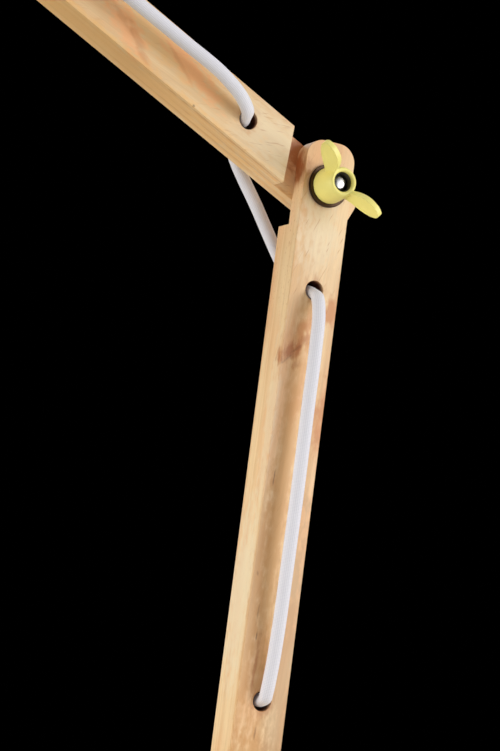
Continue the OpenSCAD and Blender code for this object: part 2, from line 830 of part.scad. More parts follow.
// The bulb's outline: a neck in the cap, a cone, and a globe, all moved in by an inset
module bulb_outline(inset) {
    globe = bulb_d / 2 - inset;
    mid = glass_from + bulb_l - bulb_d / 2;
    neck = neck_r - inset;
    tangent = globe * [cos(bulb_cone), -sin(bulb_cone)] + [0, mid];
    translate([0, mid]) intersection() {
        circle(globe);
        translate([0, -globe]) square([globe, 2 * globe]);
    }
    polygon([
        [0, glass_from - glass_in], [neck, glass_from - glass_in],
        [neck, tangent.y - (tangent.x - neck) / tan(bulb_cone)], tangent, [0, mid]
    ]);
}

module bulb_glass() {
    color("white", 0.9) on_lamp() rotate_extrude() difference() {
        bulb_outline(0);
        bulb_outline(bulb_wall);
        translate([-over, glass_from - glass_in - over]) square([neck_r - bulb_wall + over, 2 * over]);
    }
}

module cord_head() {
    color(braid) tube(concat(
        laid(head_route_low, elbow, upper_turn), laid(head_route_high, head_pivot, head_turn)
    ), cord_d, cord_sides);
}

module cord_upper() {
    color(braid) tube(laid(upper_route, elbow, upper_turn), cord_d, cord_sides);
}

module cord_elbow() {
    color(braid) tube(concat(
        laid(elbow_route_high, elbow, upper_turn), laid(elbow_route_low, elbow, lower_turn)
    ), cord_d, cord_sides);
}

module cord_lower() {
    color(braid) tube(laid(lower_route, elbow, lower_turn), cord_d, cord_sides);
}

module cord_base() {
    color(braid) tube(concat(laid(base_route_high, elbow, lower_turn), base_route_low), cord_d, cord_sides);
}

module cord_inner() {
    color(braid) tube(inner_route, cord_d, cord_sides);
}

module cord_bush() {
    color(white_shell) translate([0, bush_y, 0]) difference() {
        union() {
            translate([0, 0, pocket_top]) cylinder(d = bush_d, h = mortise_h);
            translate([0, 0, base_top]) cylinder(d = bush_flange_d, h = bush_flange_t);
        }
        translate([0, 0, pocket_top - over])
            cylinder(d = sleeve_d, h = mortise_h + bush_flange_t + 2 * over);
    }
}

module cord_relief() {
    thin_d = sleeve_d + 2 * relief_end_wall;
    color(white_shell) translate([0, base_r - relief_in, outlet_z]) rotate([-90, 0, 0]) difference() {
        union() {
            cylinder(d = relief_d, h = relief_in);
            translate([0, 0, relief_in]) cylinder(d1 = relief_d, d2 = thin_d, h = relief_l);
        }
        translate([0, 0, -over]) cylinder(d = sleeve_d, h = relief_in + relief_l + 2 * over);
    }
}

module cord_lead() {
    color(braid) tube(lead_route, cord_d, cord_sides);
}

// The switch's outline from above, with half-round ends
module switch_outline(inset) {
    straight = switch_l - switch_w;
    for (s = [-1, 1]) translate([s * straight / 2, 0]) circle(d = switch_w - 2 * inset);
    square([straight, switch_w - 2 * inset], center = true);
}

// One half shell of the switch, open at the parting plane
module switch_shell(from, h, floor_at) {
    difference() {
        translate([0, 0, from]) linear_extrude(h) switch_outline(0);
        translate([0, 0, floor_at]) linear_extrude(h - switch_wall) switch_outline(switch_wall);
        translate([0, 0, switch_cord_z]) rotate([0, 90, 0])
            cylinder(d = sleeve_d, h = switch_l + 2 * over, center = true);
    }
}

module at_switch_screws() {
    for (s = [-1, 1]) translate([s * switch_screw_set, switch_w / 4 * s, 0]) children();
}

module switch_bottom() {
    color(white_shell) translate(switch_at) difference() {
        union() {
            switch_shell(0, switch_low_h, switch_wall);
            at_switch_screws() cylinder(d = switch_boss_d, h = switch_low_h);
        }
        at_switch_screws() translate([0, 0, -over])
            cylinder(d = switch_screw_d + 2 * fixed_clear, h = switch_low_h + 2 * over);
    }
}

module switch_top() {
    roof = switch_h - switch_wall;
    boss_h = switch_high_h - switch_wall;
    lug_y = rocker_w / 2 + rocker_clear;
    window = [2 * rocker_half, rocker_w + 2 * rocker_clear, switch_wall + 2 * over];
    color(white_shell) translate(switch_at) difference() {
        union() {
            switch_shell(switch_low_h, switch_high_h, switch_low_h);
            for (s = [-1, 1])
                translate([-lug_w / 2, s > 0 ? lug_y : -lug_y - lug_t, rocker_z - lug_w / 2])
                    cube([lug_w, lug_t, roof - rocker_z + lug_w / 2 + over]);
            at_switch_screws() translate([0, 0, switch_low_h])
                cylinder(d = switch_boss_d, h = boss_h + over);
        }
        translate([0, 0, roof + window.z / 2 - over]) cube(window, center = true);
        translate([0, 0, rocker_z]) rotate([90, 0, 0])
            cylinder(d = rocker_pin_d + 2 * bolt_clear, h = pin_l + 2 * over, center = true);
        at_switch_screws() cylinder(d = switch_screw_d + 2 * fixed_clear, h = switch_bore_l);
    }
}

module switch_rocker() {
    rise = rocker_deep + rocker_proud;
    pivot = switch_at + [0, 0, rocker_z];
    color("gainsboro") translate(pivot) rotate([0, rocker_tilt, 0]) rotate([90, 0, 0]) {
        linear_extrude(rocker_w, center = true) intersection() {
            circle(rocker_r);
            polygon([
                [-rocker_r, rocker_side], [0, -rocker_keel], [rocker_r, rocker_side],
                [rocker_r, rise + rocker_dish], [0, rise - rocker_dish], [-rocker_r, rise + rocker_dish]
            ]);
        }
        cylinder(d = rocker_pin_d, h = pin_l, center = true);
    }
}

module switch_screws() {
    color(steel) translate(switch_at) at_switch_screws()
        cylinder(d = switch_screw_d, h = switch_bore_l - screw_tip_room);
}

module switch_terminals() {
    color(brass) translate(switch_at) for (s = [-1, 1])
        translate([s * terminal_set - terminal.x / 2, -terminal.y / 2, switch_wall]) cube(terminal);
}

module cord_link() {
    color(braid) tube(link_route, cord_d, cord_sides);
}

module cord_coil() {
    echo(coil_least_gap = coil_least);
    color(braid) tube(coil_path, cord_d, coil_sides);
}

// The strap round the coil's turns, on the side away from its ends
module coil_tie() {
    spread = coil_step * (coil_turns - 1) / 2 + cord_d / 2 + tie_clear;
    mid_r = coil_r - coil_step * coil_turns / 2;
    sag = tie_w * tie_w / (4 * (mid_r - spread));
    low = coil_from.z - cord_d / 2 - tie_clear;
    high = coil_from.z + coil_step + cord_d / 2 + tie_clear;
    color("black") translate(coil_mid - [0, mid_r, coil_mid.z]) difference() {
        translate([-tie_w / 2, -spread - tie_t, low - tie_t])
            cube([tie_w, 2 * (spread + tie_t) + sag, high - low + 2 * tie_t]);
        translate([-tie_w / 2 - over, -spread, low]) cube([tie_w + 2 * over, 2 * spread + sag, high - low]);
    }
}

module cord_tail() {
    color(braid) tube(tail_route, cord_d, cord_sides);
}

// The frame of the plug: out of its cord end along +X
module on_plug() {
    translate(plug_at) rotate([0, 0, plug_turn]) children();
}

module at_pins() {
    for (s = [-1, 1])
        translate([plug_sleeve_l + plug_l, s * plug_pin_gap / 2, 0]) rotate([0, 90, 0]) children();
}

module plug_body() {
    tail_d = cord_d + 2 * relief_end_wall;
    neck_d = plug_t - 2 * plug_sleeve_step;
    color(white_shell) on_plug() difference() {
        union() {
            rotate([0, 90, 0]) cylinder(d1 = tail_d, d2 = neck_d, h = plug_sleeve_l + over);
            translate([plug_sleeve_l, 0, -plug_t / 2]) linear_extrude(plug_t) polygon([
                [0, -plug_back_w / 2], [plug_taper_l, -plug_w / 2], [plug_l, -plug_w / 2],
                [plug_l, plug_w / 2], [plug_taper_l, plug_w / 2], [0, plug_back_w / 2]
            ]);
        }
        at_pins() translate([0, 0, -plug_pin_in])
            cylinder(d = plug_pin_d + 2 * fixed_clear, h = plug_pin_in + over);
    }
}

module plug_pins() {
    straight = plug_pin_in - fixed_clear + plug_pin_l - pin_tip_l;
    color(steel) on_plug() at_pins() translate([0, 0, fixed_clear - plug_pin_in]) {
        cylinder(d = plug_pin_d, h = straight);
        translate([0, 0, straight])
            cylinder(d1 = plug_pin_d, d2 = plug_pin_d - 2 * pin_tip_cut, h = pin_tip_l);
    }
}

felt_pad();
base_disc();
ballast_plate();
ballast_screws();
base_post();
post_screws();
base_bolt();
base_washer();
base_wing_nut();
lower_arm();
elbow_bolt();
elbow_washer();
elbow_wing_nut();
upper_arm();
head_bolt();
head_washer();
head_wing_nut();
head_bar();
holder_nipple();
nipple_nut();
holder_cap();
holder_body();
holder_ring();
holder_insert();
holder_sleeve();
holder_contact();
holder_leads();
shade();
bulb_cap();
bulb_glass();
cord_head();
cord_upper();
cord_elbow();
cord_lower();
cord_base();
cord_inner();
cord_bush();
cord_relief();
cord_lead();
switch_bottom();
switch_top();
switch_rocker();
switch_screws();
switch_terminals();
cord_link();
cord_coil();
coil_tie();
cord_tail();
plug_body();
plug_pins();
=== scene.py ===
import json
import math
from functools import partial

import bmesh
import bpy
from mathutils import Matrix, Vector


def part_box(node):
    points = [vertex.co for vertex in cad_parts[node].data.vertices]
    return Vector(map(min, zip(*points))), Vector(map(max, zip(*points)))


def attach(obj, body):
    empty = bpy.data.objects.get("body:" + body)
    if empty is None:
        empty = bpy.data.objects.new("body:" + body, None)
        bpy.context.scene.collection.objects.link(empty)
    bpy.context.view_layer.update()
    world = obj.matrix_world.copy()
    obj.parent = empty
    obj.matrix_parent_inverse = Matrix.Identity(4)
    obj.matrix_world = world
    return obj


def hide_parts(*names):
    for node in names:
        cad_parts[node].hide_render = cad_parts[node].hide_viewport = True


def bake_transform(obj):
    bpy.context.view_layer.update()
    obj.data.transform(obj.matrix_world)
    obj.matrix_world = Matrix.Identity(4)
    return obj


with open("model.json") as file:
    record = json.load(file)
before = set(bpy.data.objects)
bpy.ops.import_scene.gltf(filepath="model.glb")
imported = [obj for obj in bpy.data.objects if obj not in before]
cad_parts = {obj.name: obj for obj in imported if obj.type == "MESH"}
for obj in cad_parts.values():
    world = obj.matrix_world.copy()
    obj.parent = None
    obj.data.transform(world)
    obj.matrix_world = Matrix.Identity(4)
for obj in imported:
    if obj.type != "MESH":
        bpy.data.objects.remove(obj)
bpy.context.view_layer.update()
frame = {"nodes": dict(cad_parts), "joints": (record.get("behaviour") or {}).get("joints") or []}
cadNodes = frame["nodes"]
joints = {joint["name"]: joint for joint in frame["joints"]}
scene = bpy.context.scene
mm = 0.001

# Pivots of the lamp, and the turn of each wooden bar about the Y axis
basePivot = Vector(joints["base_tilt"]["pos_m"])
elbow = Vector(joints["elbow_fold"]["pos_m"])
headPivot = Vector(joints["head_tilt"]["pos_m"])


def barTurn(start, end):
    run = end - start
    return math.atan2(run.x, run.z)


bars = {
    "lower": {"at": elbow, "turn": barTurn(elbow, basePivot)},
    "upper": {"at": elbow, "turn": barTurn(elbow, headPivot)},
    "head": {"at": headPivot, "turn": math.radians(-90)},
    "post": {"at": basePivot, "turn": 0.0},
    "base": {"at": Vector((0, 0, 0)), "turn": 0.0},
}


def onBar(bar):
    return Matrix.Translation(bars[bar]["at"]) @ Matrix.Rotation(bars[bar]["turn"], 4, "Y")


# Node kinds and settings that come up often
mathNode = "ShaderNodeMath"
vectorNode = "ShaderNodeVectorMath"
rangeNode = "ShaderNodeMapRange"
mappingNode = "ShaderNodeMapping"
noiseNode = "ShaderNodeTexNoise"
mixNode = "ShaderNodeMix"
attributeNode = "GeometryNodeStoreNamedAttribute"
eased = {"interpolation_type": "SMOOTHSTEP"}
ownFrame = {"vector_type": "TEXTURE"}
inColour = {"data_type": "RGBA"}


def toLinear(hexText):
    parts = [int(hexText[i:i + 2], 16) / 255 for i in (1, 3, 5)]
    linear = [p / 12.92 if p <= 0.04045 else ((p + 0.055) / 1.055) ** 2.4 for p in parts]
    return (*linear, 1.0)


def addNode(tree, kind, inputs=(), operation=None, **settings):
    # Inputs go by name, or in the order of the sockets in use; a node stands for its first output in use
    made = tree.nodes.new(kind)
    if operation:
        made.operation = operation
    for key, value in settings.items():
        setattr(made, key, value)
    sockets = [socket for socket in made.inputs if socket.enabled]
    if isinstance(inputs, dict):
        named = {socket.name: socket for socket in sockets}
        pairs = [(named[name], value) for name, value in inputs.items()]
    else:
        pairs = zip(sockets, inputs)
    for socket, value in pairs:
        if isinstance(value, bpy.types.Node):
            value = next(output for output in value.outputs if output.enabled)
        if isinstance(value, bpy.types.NodeSocket):
            tree.links.new(value, socket)
        else:
            socket.default_value = value
    return made


def newMaterial(name):
    made = bpy.data.materials.new(name)
    made.use_nodes = True
    made.node_tree.nodes.clear()
    return made, partial(addNode, made.node_tree)


# Pine, planed and left bare: cream early wood, tan late wood, fine fibres and a dull satin shine
pine = {
    # Tones: cream serves as painted sheen, dun and partly tan as painted shade, amber and peach partly as
    # painted light, and the stain tone as real stains and as painted shade
    "early": "#EFCE9D", "late": "#CD975A", "rosy": "#E4AE79", "flame": "#CE8A50", "stainAndShade": "#B46A34",
    "amber": "#F6BC6A", "peach": "#FFB57A", "tan": "#CF9350", "dun": "#B58D65", "cream": "#EEDCB8",
    # The dark brown after the fleck is painted shade for the walls of the drilled holes
    "fleck": "#6E431F", "holeShadeTone": "#562206",
    "ringGap": 3.4, "wave": 6.0, "ripple": 1.2,  # millimetres
    "lateFrom": (0.42, 0.68), "lateDepth": 0.58, "sideFade": 0.4, "rosyFrom": (0.42, 0.7), "rosyDepth": 0.8,
    "fibreLow": 0.88, "fibreSpan": 0.24, "torn": 1.8, "markEdge": (1.2, 0.3),
    "dashFrom": (0.645, 0.775), "dashReach": (75, 45), "dashFar": 0.12,
    "endFrom": (0.35, 0.95), "endDepth": 0.45,
    "holeEdge": (4.9, 4.55), "holeMouth": (10.6, 6.8),  # mm from its axis and from the bar's middle
    "roughness": 0.4, "roughSpan": 0.16, "holeWallRough": 0.5, "bump": 0.2, "bumpDepth": 0.12,
}
# Noise drawn out along the grain: cells in millimetres, and a shift that gives each its own draw
pineGrain = {
    "wave": {"across": 22, "along": 140, "detail": 2, "shift": 0.0},
    "ripple": {"across": 3.5, "along": 60, "detail": 3, "shift": 1.7},
    "drift": {"across": 14, "along": 60, "detail": 2, "shift": 4.1},
    "fibre": {"across": 0.6, "along": 24, "detail": 2, "shift": 9.2},
    "dash": {"across": 0.7, "along": 8, "detail": 1, "shift": 13.5},
    "torn": {"across": 2.2, "along": 5, "detail": 3, "shift": 21.0},
}
# Marks on the bars, real stains and flecks and also painted sheen, painted light and painted shade: middle
# and reach in millimetres, and the turn in degrees of those that lean
lowerMarks = [
    # Painted light on the front near the elbow, lifting the nut's shadow there, and painted sheen that makes
    # the left side pale
    {"at": (2, -10, 22), "size": (13, 4, 24), "tone": "cream", "depth": 0.6},
    {"at": (13, 0, 190), "size": (4, 16, 50), "tone": "cream", "depth": 0.65},
    {"at": (13, -7, 110), "size": (3, 6, 50), "tone": "cream", "depth": 0.5},
    # A tan band along the front: partly darker wood, partly painted shade where the cord's shadow falls
    {"at": (4, -10, 150), "size": (7.5, 6, 120), "turn": 1, "tone": "tan", "depth": 0.5},
    {"at": (10.5, -10, 195), "size": (4.5, 2.6, 75), "turn": 1, "tone": "tan", "depth": 0.55},
    # Flame and late-wood patches on the front's right
    {"at": (-13, -9, 107), "size": (6.5, 5, 22), "tone": "flame", "depth": 0.95},
    {"at": (-9, -10, 44), "size": (6, 4, 15), "tone": "late", "depth": 0.2},
    # Painted shade: the front darker towards the bottom, where less light reaches
    {"at": (3, -10, 266), "size": (13, 4, 24), "tone": "tan", "depth": 0.7},
    {"at": (-9, -10, 222), "size": (9, 4, 90), "tone": "dun", "depth": 0.5},
    # The knot's stained patch beside the cord
    {"at": (6, -9, 73), "size": (7, 5, 15), "turn": 35, "tone": "flame", "depth": 0.45},
    {"at": (3.6, -9, 67.5), "size": (3.6, 5, 8), "turn": 24, "tone": "flame", "depth": 0.5},
    {"at": (-10, -9, 57.5), "size": (4.4, 5, 8), "turn": 12, "tone": "flame", "depth": 0.9},
    {"at": (9, -9, 79.4), "size": (4.2, 5, 7.5), "turn": 44, "tone": "stainAndShade", "depth": 0.8},
    {"at": (1.6, -9, 72.5), "size": (2.6, 5, 7), "turn": 45, "tone": "stainAndShade", "depth": 0.45},
    {"at": (4.4, -9, 84), "size": (2, 5, 3), "turn": 40, "tone": "stainAndShade", "depth": 0.45},
    {"at": (9.6, -10, 82.5), "size": (0.7, 3, 4), "turn": 45, "tone": "fleck", "depth": 0.3},
    {"at": (5.2, -10, 77), "size": (0.6, 3, 4), "turn": 50, "tone": "fleck", "depth": 0.25},
    # Painted shade with warm bounce light at the lap's rounded end, between the arms
    {"at": (12, 0, -7), "size": (5, 13, 10), "tone": "stainAndShade", "depth": 0.9},
    # Painted shade round the mouths of the cord holes
    {"at": (0, -10, 49), "size": (7, 3, 7), "tone": "stainAndShade", "depth": 0.3},
    {"at": (0, -10, 237), "size": (7, 3, 7), "tone": "stainAndShade", "depth": 0.45},
    # Dark flecks in line with the grain
    {"at": (8.3, -10, 136), "size": (0.35, 3, 4), "turn": 2, "tone": "fleck", "depth": 0.5},
    {"at": (7, -10, 208), "size": (0.4, 3, 2.4), "turn": 4, "tone": "fleck", "depth": 0.6},
    {"at": (7.6, -10, 197), "size": (0.5, 3, 5), "turn": 4, "tone": "fleck", "depth": 0.3},
    {"at": (5.6, -10, 219), "size": (1.1, 3, 17), "turn": 3, "tone": "stainAndShade", "depth": 0.5},
    {"at": (1.6, -10, 250), "size": (0.45, 3, 3), "turn": 4, "tone": "fleck", "depth": 0.4},
    {"at": (10.4, -10, 180), "size": (0.7, 3, 1.4), "tone": "fleck", "depth": 0.35},
]
upperMarks = [
    # Painted sheen on the front near the elbow, and amber along the front: partly golden wood, partly painted
    # light where the cord's shadow falls
    {"at": (0, -10, 38), "size": (14, 4, 26), "tone": "cream", "depth": 0.5},
    {"at": (1, -9, 92), "size": (8, 6, 50), "turn": 4, "tone": "amber", "depth": 0.4},
    # Amber along the underside: partly golden wood, partly painted light from below
    {"at": (-12.5, 0, 130), "size": (3, 18, 150), "tone": "amber", "depth": 0.6},
    # Two flame-shaped stains, drawn lighter as painted light where the cord's shadow falls, with their darker
    # edges
    {"at": (-3, -9, 119), "size": (6.5, 6, 18), "turn": 26, "tone": "peach", "depth": 0.65},
    {"at": (0.5, -9, 82), "size": (5.5, 5, 23), "turn": 13, "tone": "peach", "depth": 0.65},
    {"at": (-1, -9, 88), "size": (1.1, 5, 14), "turn": 22, "tone": "flame", "depth": 0.25},
    {"at": (-1.4, -9, 122), "size": (1.6, 5, 11), "turn": 24, "tone": "stainAndShade", "depth": 0.2},
    # Painted shade round the mouth of the cord hole
    {"at": (0, -10, 49), "size": (6.5, 3, 6.5), "tone": "stainAndShade", "depth": 0.35},
    # A darker edge of the flame further from the elbow
    {"at": (-5.6, -9, 110), "size": (2.2, 5, 11), "turn": 32, "tone": "stainAndShade", "depth": 0.3},
    # Painted shade at the lap's shoulder, between the arms; brown lines along the underside, and one fleck
    {"at": (8, -2, 19), "size": (10, 6, 7), "tone": "stainAndShade", "depth": 0.9},
    {"at": (-12.5, -7.6, 48), "size": (2, 1, 60), "tone": "stainAndShade", "depth": 0.4},
    {"at": (-12.5, -0.5, 40), "size": (2, 0.8, 45), "tone": "stainAndShade", "depth": 0.3},
    {"at": (-12.5, 4.5, 60), "size": (2, 0.7, 60), "tone": "stainAndShade", "depth": 0.25},
    {"at": (-11.9, -10, 73.5), "size": (0.6, 2, 0.8), "tone": "fleck", "depth": 0.6},
]
pineBars = {
    "lower": {"pith": (9, 64), "seed": 2.0, "slope": 3, "dashSlope": 24, "dashDepth": 0.45,
              "holes": (49, 236), "marks": lowerMarks},
    "upper": {"pith": (-6, 70), "seed": 7.3, "slope": -3, "dashSlope": -28, "dashDepth": 0.24,
              "holes": (49, 236), "marks": upperMarks},
    "head": {"pith": (5, 58), "seed": 12.4, "slope": 3, "dashSlope": 8, "dashDepth": 0.45,
             "holes": (56,), "marks": []},
    "post": {"pith": (-8, 61), "seed": 17.9, "slope": 2, "dashSlope": 6, "dashDepth": 0.45,
             "holes": (), "marks": []},
    "base": {"pith": (70, -40), "seed": 23.1, "slope": 0, "dashSlope": 4, "dashDepth": 0.45,
             "holes": (), "marks": []},
}


def pineMaterial(bar):
    own = pineBars[bar]
    turn = bars[bar]["turn"]
    made, add = newMaterial("planedPine_" + bar)
    where = add("ShaderNodeTexCoord").outputs

    def grain(vector, name):
        cell = pineGrain[name]
        drawn = add(mappingNode, {
            "Vector": vector, "Location": (own["seed"] + cell["shift"],) * 3,
            "Scale": (1 / cell["across"], 1 / cell["across"], 1 / cell["along"])})
        return add(noiseNode, {"Vector": drawn, "Scale": 1.0, "Detail": cell["detail"]})

    def fromAxis(vector, middle, across):
        spoke = add(vectorNode, [vector, middle], "SUBTRACT")
        flat = add(vectorNode, [spoke, across], "MULTIPLY")
        return add(vectorNode, [flat], "LENGTH")

    # The bar's own frame in millimetres: x across, y back, z along; the disc's boards lie flat, left to right
    local = add(mappingNode, {
        "Vector": where["Object"], "Location": bars[bar]["at"], "Rotation": (0, turn, 0),
        "Scale": (mm, mm, mm)}, **ownFrame)
    if bar == "base":
        local = add(mappingNode, {"Vector": local, "Rotation": (0, math.radians(90), 0)}, **ownFrame)
    sloped = add(mappingNode, {"Vector": local, "Rotation": (0, math.radians(own["slope"]), 0)}, **ownFrame)
    # Growth rings about a pith that lies outside the bar, waved along its length and uneven in width
    radius = fromAxis(sloped, (*own["pith"], 0), (1, 1, 0))
    waved = add(mathNode, [grain(sloped, "wave"), pine["wave"], radius], "MULTIPLY_ADD")
    rippled = add(mathNode, [grain(sloped, "ripple"), pine["ripple"], waved], "MULTIPLY_ADD")
    years = add(mathNode, [rippled, 1 / pine["ringGap"], own["seed"]], "MULTIPLY_ADD")
    rings = add(noiseNode, {"W": years, "Scale": 1.0, "Detail": 2.0}, noise_dimensions="1D")
    # Late wood shows less on the bar's sides
    normal = add("ShaderNodeVectorRotate", {"Vector": where["Normal"], "Angle": turn},
                 rotation_type="Y_AXIS", invert=True)
    towards = add("ShaderNodeSeparateXYZ", [normal]).outputs
    sideOn = add(mathNode, [towards["X"]], "ABSOLUTE")
    shown = add(mathNode, [sideOn, -pine["sideFade"], 1.0], "MULTIPLY_ADD")
    late = add(mathNode, [add(rangeNode, [rings, *pine["lateFrom"]], **eased), shown], "MULTIPLY")
    ringed = add(mathNode, [late, pine["lateDepth"]], "MULTIPLY")
    wood = add(mixNode, [ringed, toLinear(pine["early"]), toLinear(pine["late"])], **inColour)
    # Slow drift towards a rosier tone
    drift = add(rangeNode, [grain(sloped, "drift"), *pine["rosyFrom"], 0.0, pine["rosyDepth"]], **eased)
    wood = add(mixNode, [drift, wood, toLinear(pine["rosy"])], **inColour)
    # Fibres
    fibre = grain(sloped, "fibre")
    streaked = add(mathNode, [fibre, pine["fibreSpan"], pine["fibreLow"]], "MULTIPLY_ADD")
    wood = add(vectorNode, [wood, streaked], "SCALE")
    # Stains and flecks at their own places on the bar, with torn edges; other marks are painted sheen,
    # painted light and painted shade
    torn = add(mathNode, [grain(local, "torn"), pine["torn"], -pine["torn"] / 2], "MULTIPLY_ADD")
    for mark in own["marks"]:
        cell = add(mappingNode, {
            "Vector": local, "Location": mark["at"], "Rotation": (0, math.radians(mark.get("turn", 0)), 0),
            "Scale": mark["size"]}, **ownFrame)
        far = add(mathNode, [add(vectorNode, [cell], "LENGTH"), torn], "ADD")
        near = add(rangeNode, [far, *pine["markEdge"], 0.0, mark["depth"]], **eased)
        wood = add(mixNode, [near, wood, toLinear(pine[mark["tone"]])], **inColour)
    # Short dark dashes where the grain runs out of the face, most of them near the pivot
    runOut = add(mappingNode, {
        "Vector": local, "Rotation": (0, math.radians(own["dashSlope"]), 0)}, **ownFrame)
    dash = add(rangeNode, [grain(runOut, "dash"), *pine["dashFrom"]], **eased)
    split = add("ShaderNodeSeparateXYZ", [local]).outputs
    nearPivot = add(rangeNode, [
        split["Z"], *pine["dashReach"], pine["dashFar"], pine["dashFar"] + own["dashDepth"]], **eased)
    dashed = add(mathNode, [dash, nearPivot], "MULTIPLY")
    wood = add(mixNode, [dashed, wood, toLinear(pine["stainAndShade"])], **inColour)
    # End grain drinks more and looks darker
    endOn = add(mathNode, [towards["X" if bar == "base" else "Z"]], "ABSOLUTE")
    soaked = add(rangeNode, [endOn, *pine["endFrom"], 0.0, pine["endDepth"]], **eased)
    wood = add(mixNode, [soaked, wood, toLinear(pine["stainAndShade"])], **inColour)
    # The walls of a drilled hole are painted dark brown, as painted shade of the hole's depth, and left rough
    offMiddle = add(mathNode, [split["Y"]], "ABSOLUTE")
    inside = add(rangeNode, [offMiddle, *pine["holeMouth"]], **eased)
    paintedHoleShade = 0.0
    for place in own["holes"]:
        within = add(rangeNode, [fromAxis(local, (0, 0, place), (1, 0, 1)), *pine["holeEdge"]], **eased)
        hole = add(mathNode, [within, inside], "MULTIPLY")
        paintedHoleShade = add(mathNode, [paintedHoleShade, hole], "MAXIMUM")
    wood = add(mixNode, [paintedHoleShade, wood, toLinear(pine["holeShadeTone"])], **inColour)
    planed = add(mathNode, [
        fibre, pine["roughSpan"], pine["roughness"] - pine["roughSpan"] / 2], "MULTIPLY_ADD")
    rough = add(mathNode, [paintedHoleShade, pine["holeWallRough"], planed], "MULTIPLY_ADD")
    height = add(mathNode, [fibre, late], "ADD")
    relief = add("ShaderNodeBump", {
        "Strength": pine["bump"], "Distance": pine["bumpDepth"] * mm, "Height": height})
    shader = add("ShaderNodeBsdfPrincipled", {"Base Color": wood, "Roughness": rough, "Normal": relief})
    add("ShaderNodeOutputMaterial", {"Surface": shader})
    return made


# Textile cord: white cotton yarn braided over the wires, soft and dull, with small shadows between the yarns
braid = {
    "yarn": "#ECEAEE", "gap": "#CFCDD6", "along": 1.3, "around": 11, "fill": 0.6,
    "bump": 0.3, "bumpDepth": 0.3, "roughness": 0.85, "sheen": 0.6, "sheenRoughness": 0.35,
}


def braidMaterial():
    made, add = newMaterial("braidedCotton")
    weave = add("ShaderNodeSeparateXYZ", [add("ShaderNodeUVMap", uv_map="weave")]).outputs
    turns = add(mathNode, [weave["X"], 2 * math.pi * braid["around"]], "MULTIPLY")
    hands = []
    for hand in (1, -1):
        wound = add(mathNode, [weave["Y"], hand * 2 * math.pi / (braid["along"] * mm), turns],
                    "MULTIPLY_ADD")
        hands.append(add(mathNode, [wound], "SINE"))
    crossed = add(mathNode, hands, "MULTIPLY")
    knots = add(mathNode, [crossed, 0.5, 0.5], "MULTIPLY_ADD")
    filled = add(mathNode, [knots, braid["fill"]], "POWER")
    tint = add(mixNode, [filled, toLinear(braid["gap"]), toLinear(braid["yarn"])], **inColour)
    relief = add("ShaderNodeBump", {
        "Strength": braid["bump"], "Distance": braid["bumpDepth"] * mm, "Height": knots})
    shader = add("ShaderNodeBsdfPrincipled", {
        "Base Color": tint, "Normal": relief, "Roughness": braid["roughness"], "Sheen Weight": braid["sheen"],
        "Sheen Roughness": braid["sheenRoughness"]})
    add("ShaderNodeOutputMaterial", {"Surface": shader})
    return made


# A plain finish: colour drifts in clouds, and a grain of the grit's size shows in the surface and its gloss
finish = {"cloud": 12, "noiseFrom": (0.3, 0.7), "roughSpan": (0.85, 1.15)}


def finishMaterial(name, colour, grit, drift, bump, roughness, **sockets):
    made, add = newMaterial(name)
    where = add("ShaderNodeTexCoord").outputs["Object"]
    cloud = add(noiseNode, {"Vector": where, "Scale": 1 / (finish["cloud"] * mm), "Detail": 3.0})
    grain = add(noiseNode, {"Vector": where, "Scale": 1 / (grit * mm), "Detail": 2.0})
    tone = add(rangeNode, [cloud, *finish["noiseFrom"], 1 - drift, 1 + drift / 3])
    tint = add(vectorNode, [toLinear(colour)[:3], tone], "SCALE")
    rough = add(rangeNode, [grain, *finish["noiseFrom"], *(roughness * span for span in finish["roughSpan"])])
    relief = add("ShaderNodeBump", {"Strength": bump, "Distance": grit * mm / 4, "Height": grain})
    shader = add("ShaderNodeBsdfPrincipled", {
        "Base Color": tint, "Roughness": rough, "Normal": relief,
        **{key.replace("_", " "): value for key, value in sockets.items()}})
    add("ShaderNodeOutputMaterial", {"Surface": shader})
    return made


# Powder enamel on a cast zinc nut: satin, with a faint orange-peel
lemonEnamel = finishMaterial("lemonEnamel", "#F8EC88", grit=1.6, drift=0.06, bump=0.06, roughness=0.42)
# The same enamel on spun aluminium: smoother, and even in colour
shadeEnamel = finishMaterial("shadeEnamel", "#F8EC88", grit=2.2, drift=0.012, bump=0.05, roughness=0.42)
# Browned steel washer: dark and patchy, with a dull gleam
brownedSteel = finishMaterial(
    "brownedSteel", "#4A382B", grit=0.6, drift=0.25, bump=0.12, roughness=0.33, Metallic=0.85)
# Zinc-plated steel, tumbled: pale grey, with a fine scuffed shine
zincSteel = finishMaterial(
    "zincSteel", "#C9C9C8", grit=0.5, drift=0.1, bump=0.08, roughness=0.3, Metallic=1.0)
# Mild steel, rolled and left bare: dark grey, with a dull and uneven gleam
rolledSteel = finishMaterial(
    "rolledSteel", "#5E5C58", grit=0.8, drift=0.15, bump=0.15, roughness=0.45, Metallic=1.0)
# Drawn brass: warm yellow, a little dulled by handling
drawnBrass = finishMaterial(
    "drawnBrass", "#C9A658", grit=0.5, drift=0.12, bump=0.08, roughness=0.3, Metallic=1.0)
# Nickel plate on the plug's pins: bright and smooth, a little warm
nickelPlate = finishMaterial(
    "nickelPlate", "#D5D2CA", grit=0.4, drift=0.06, bump=0.05, roughness=0.2, Metallic=1.0)
# Moulded white ABS: even, with a fine spark-eroded grain
mouldedAbs = finishMaterial("mouldedAbs", "#EDECE8", grit=0.5, drift=0.03, bump=0.08, roughness=0.42)
# Blown opal glass: milky, smooth and glossy
opalGlass = finishMaterial(
    "opalGlass", "#F3F1EB", grit=6.0, drift=0.02, bump=0.0, roughness=0.18, Transmission_Weight=0.15, IOR=1.5)
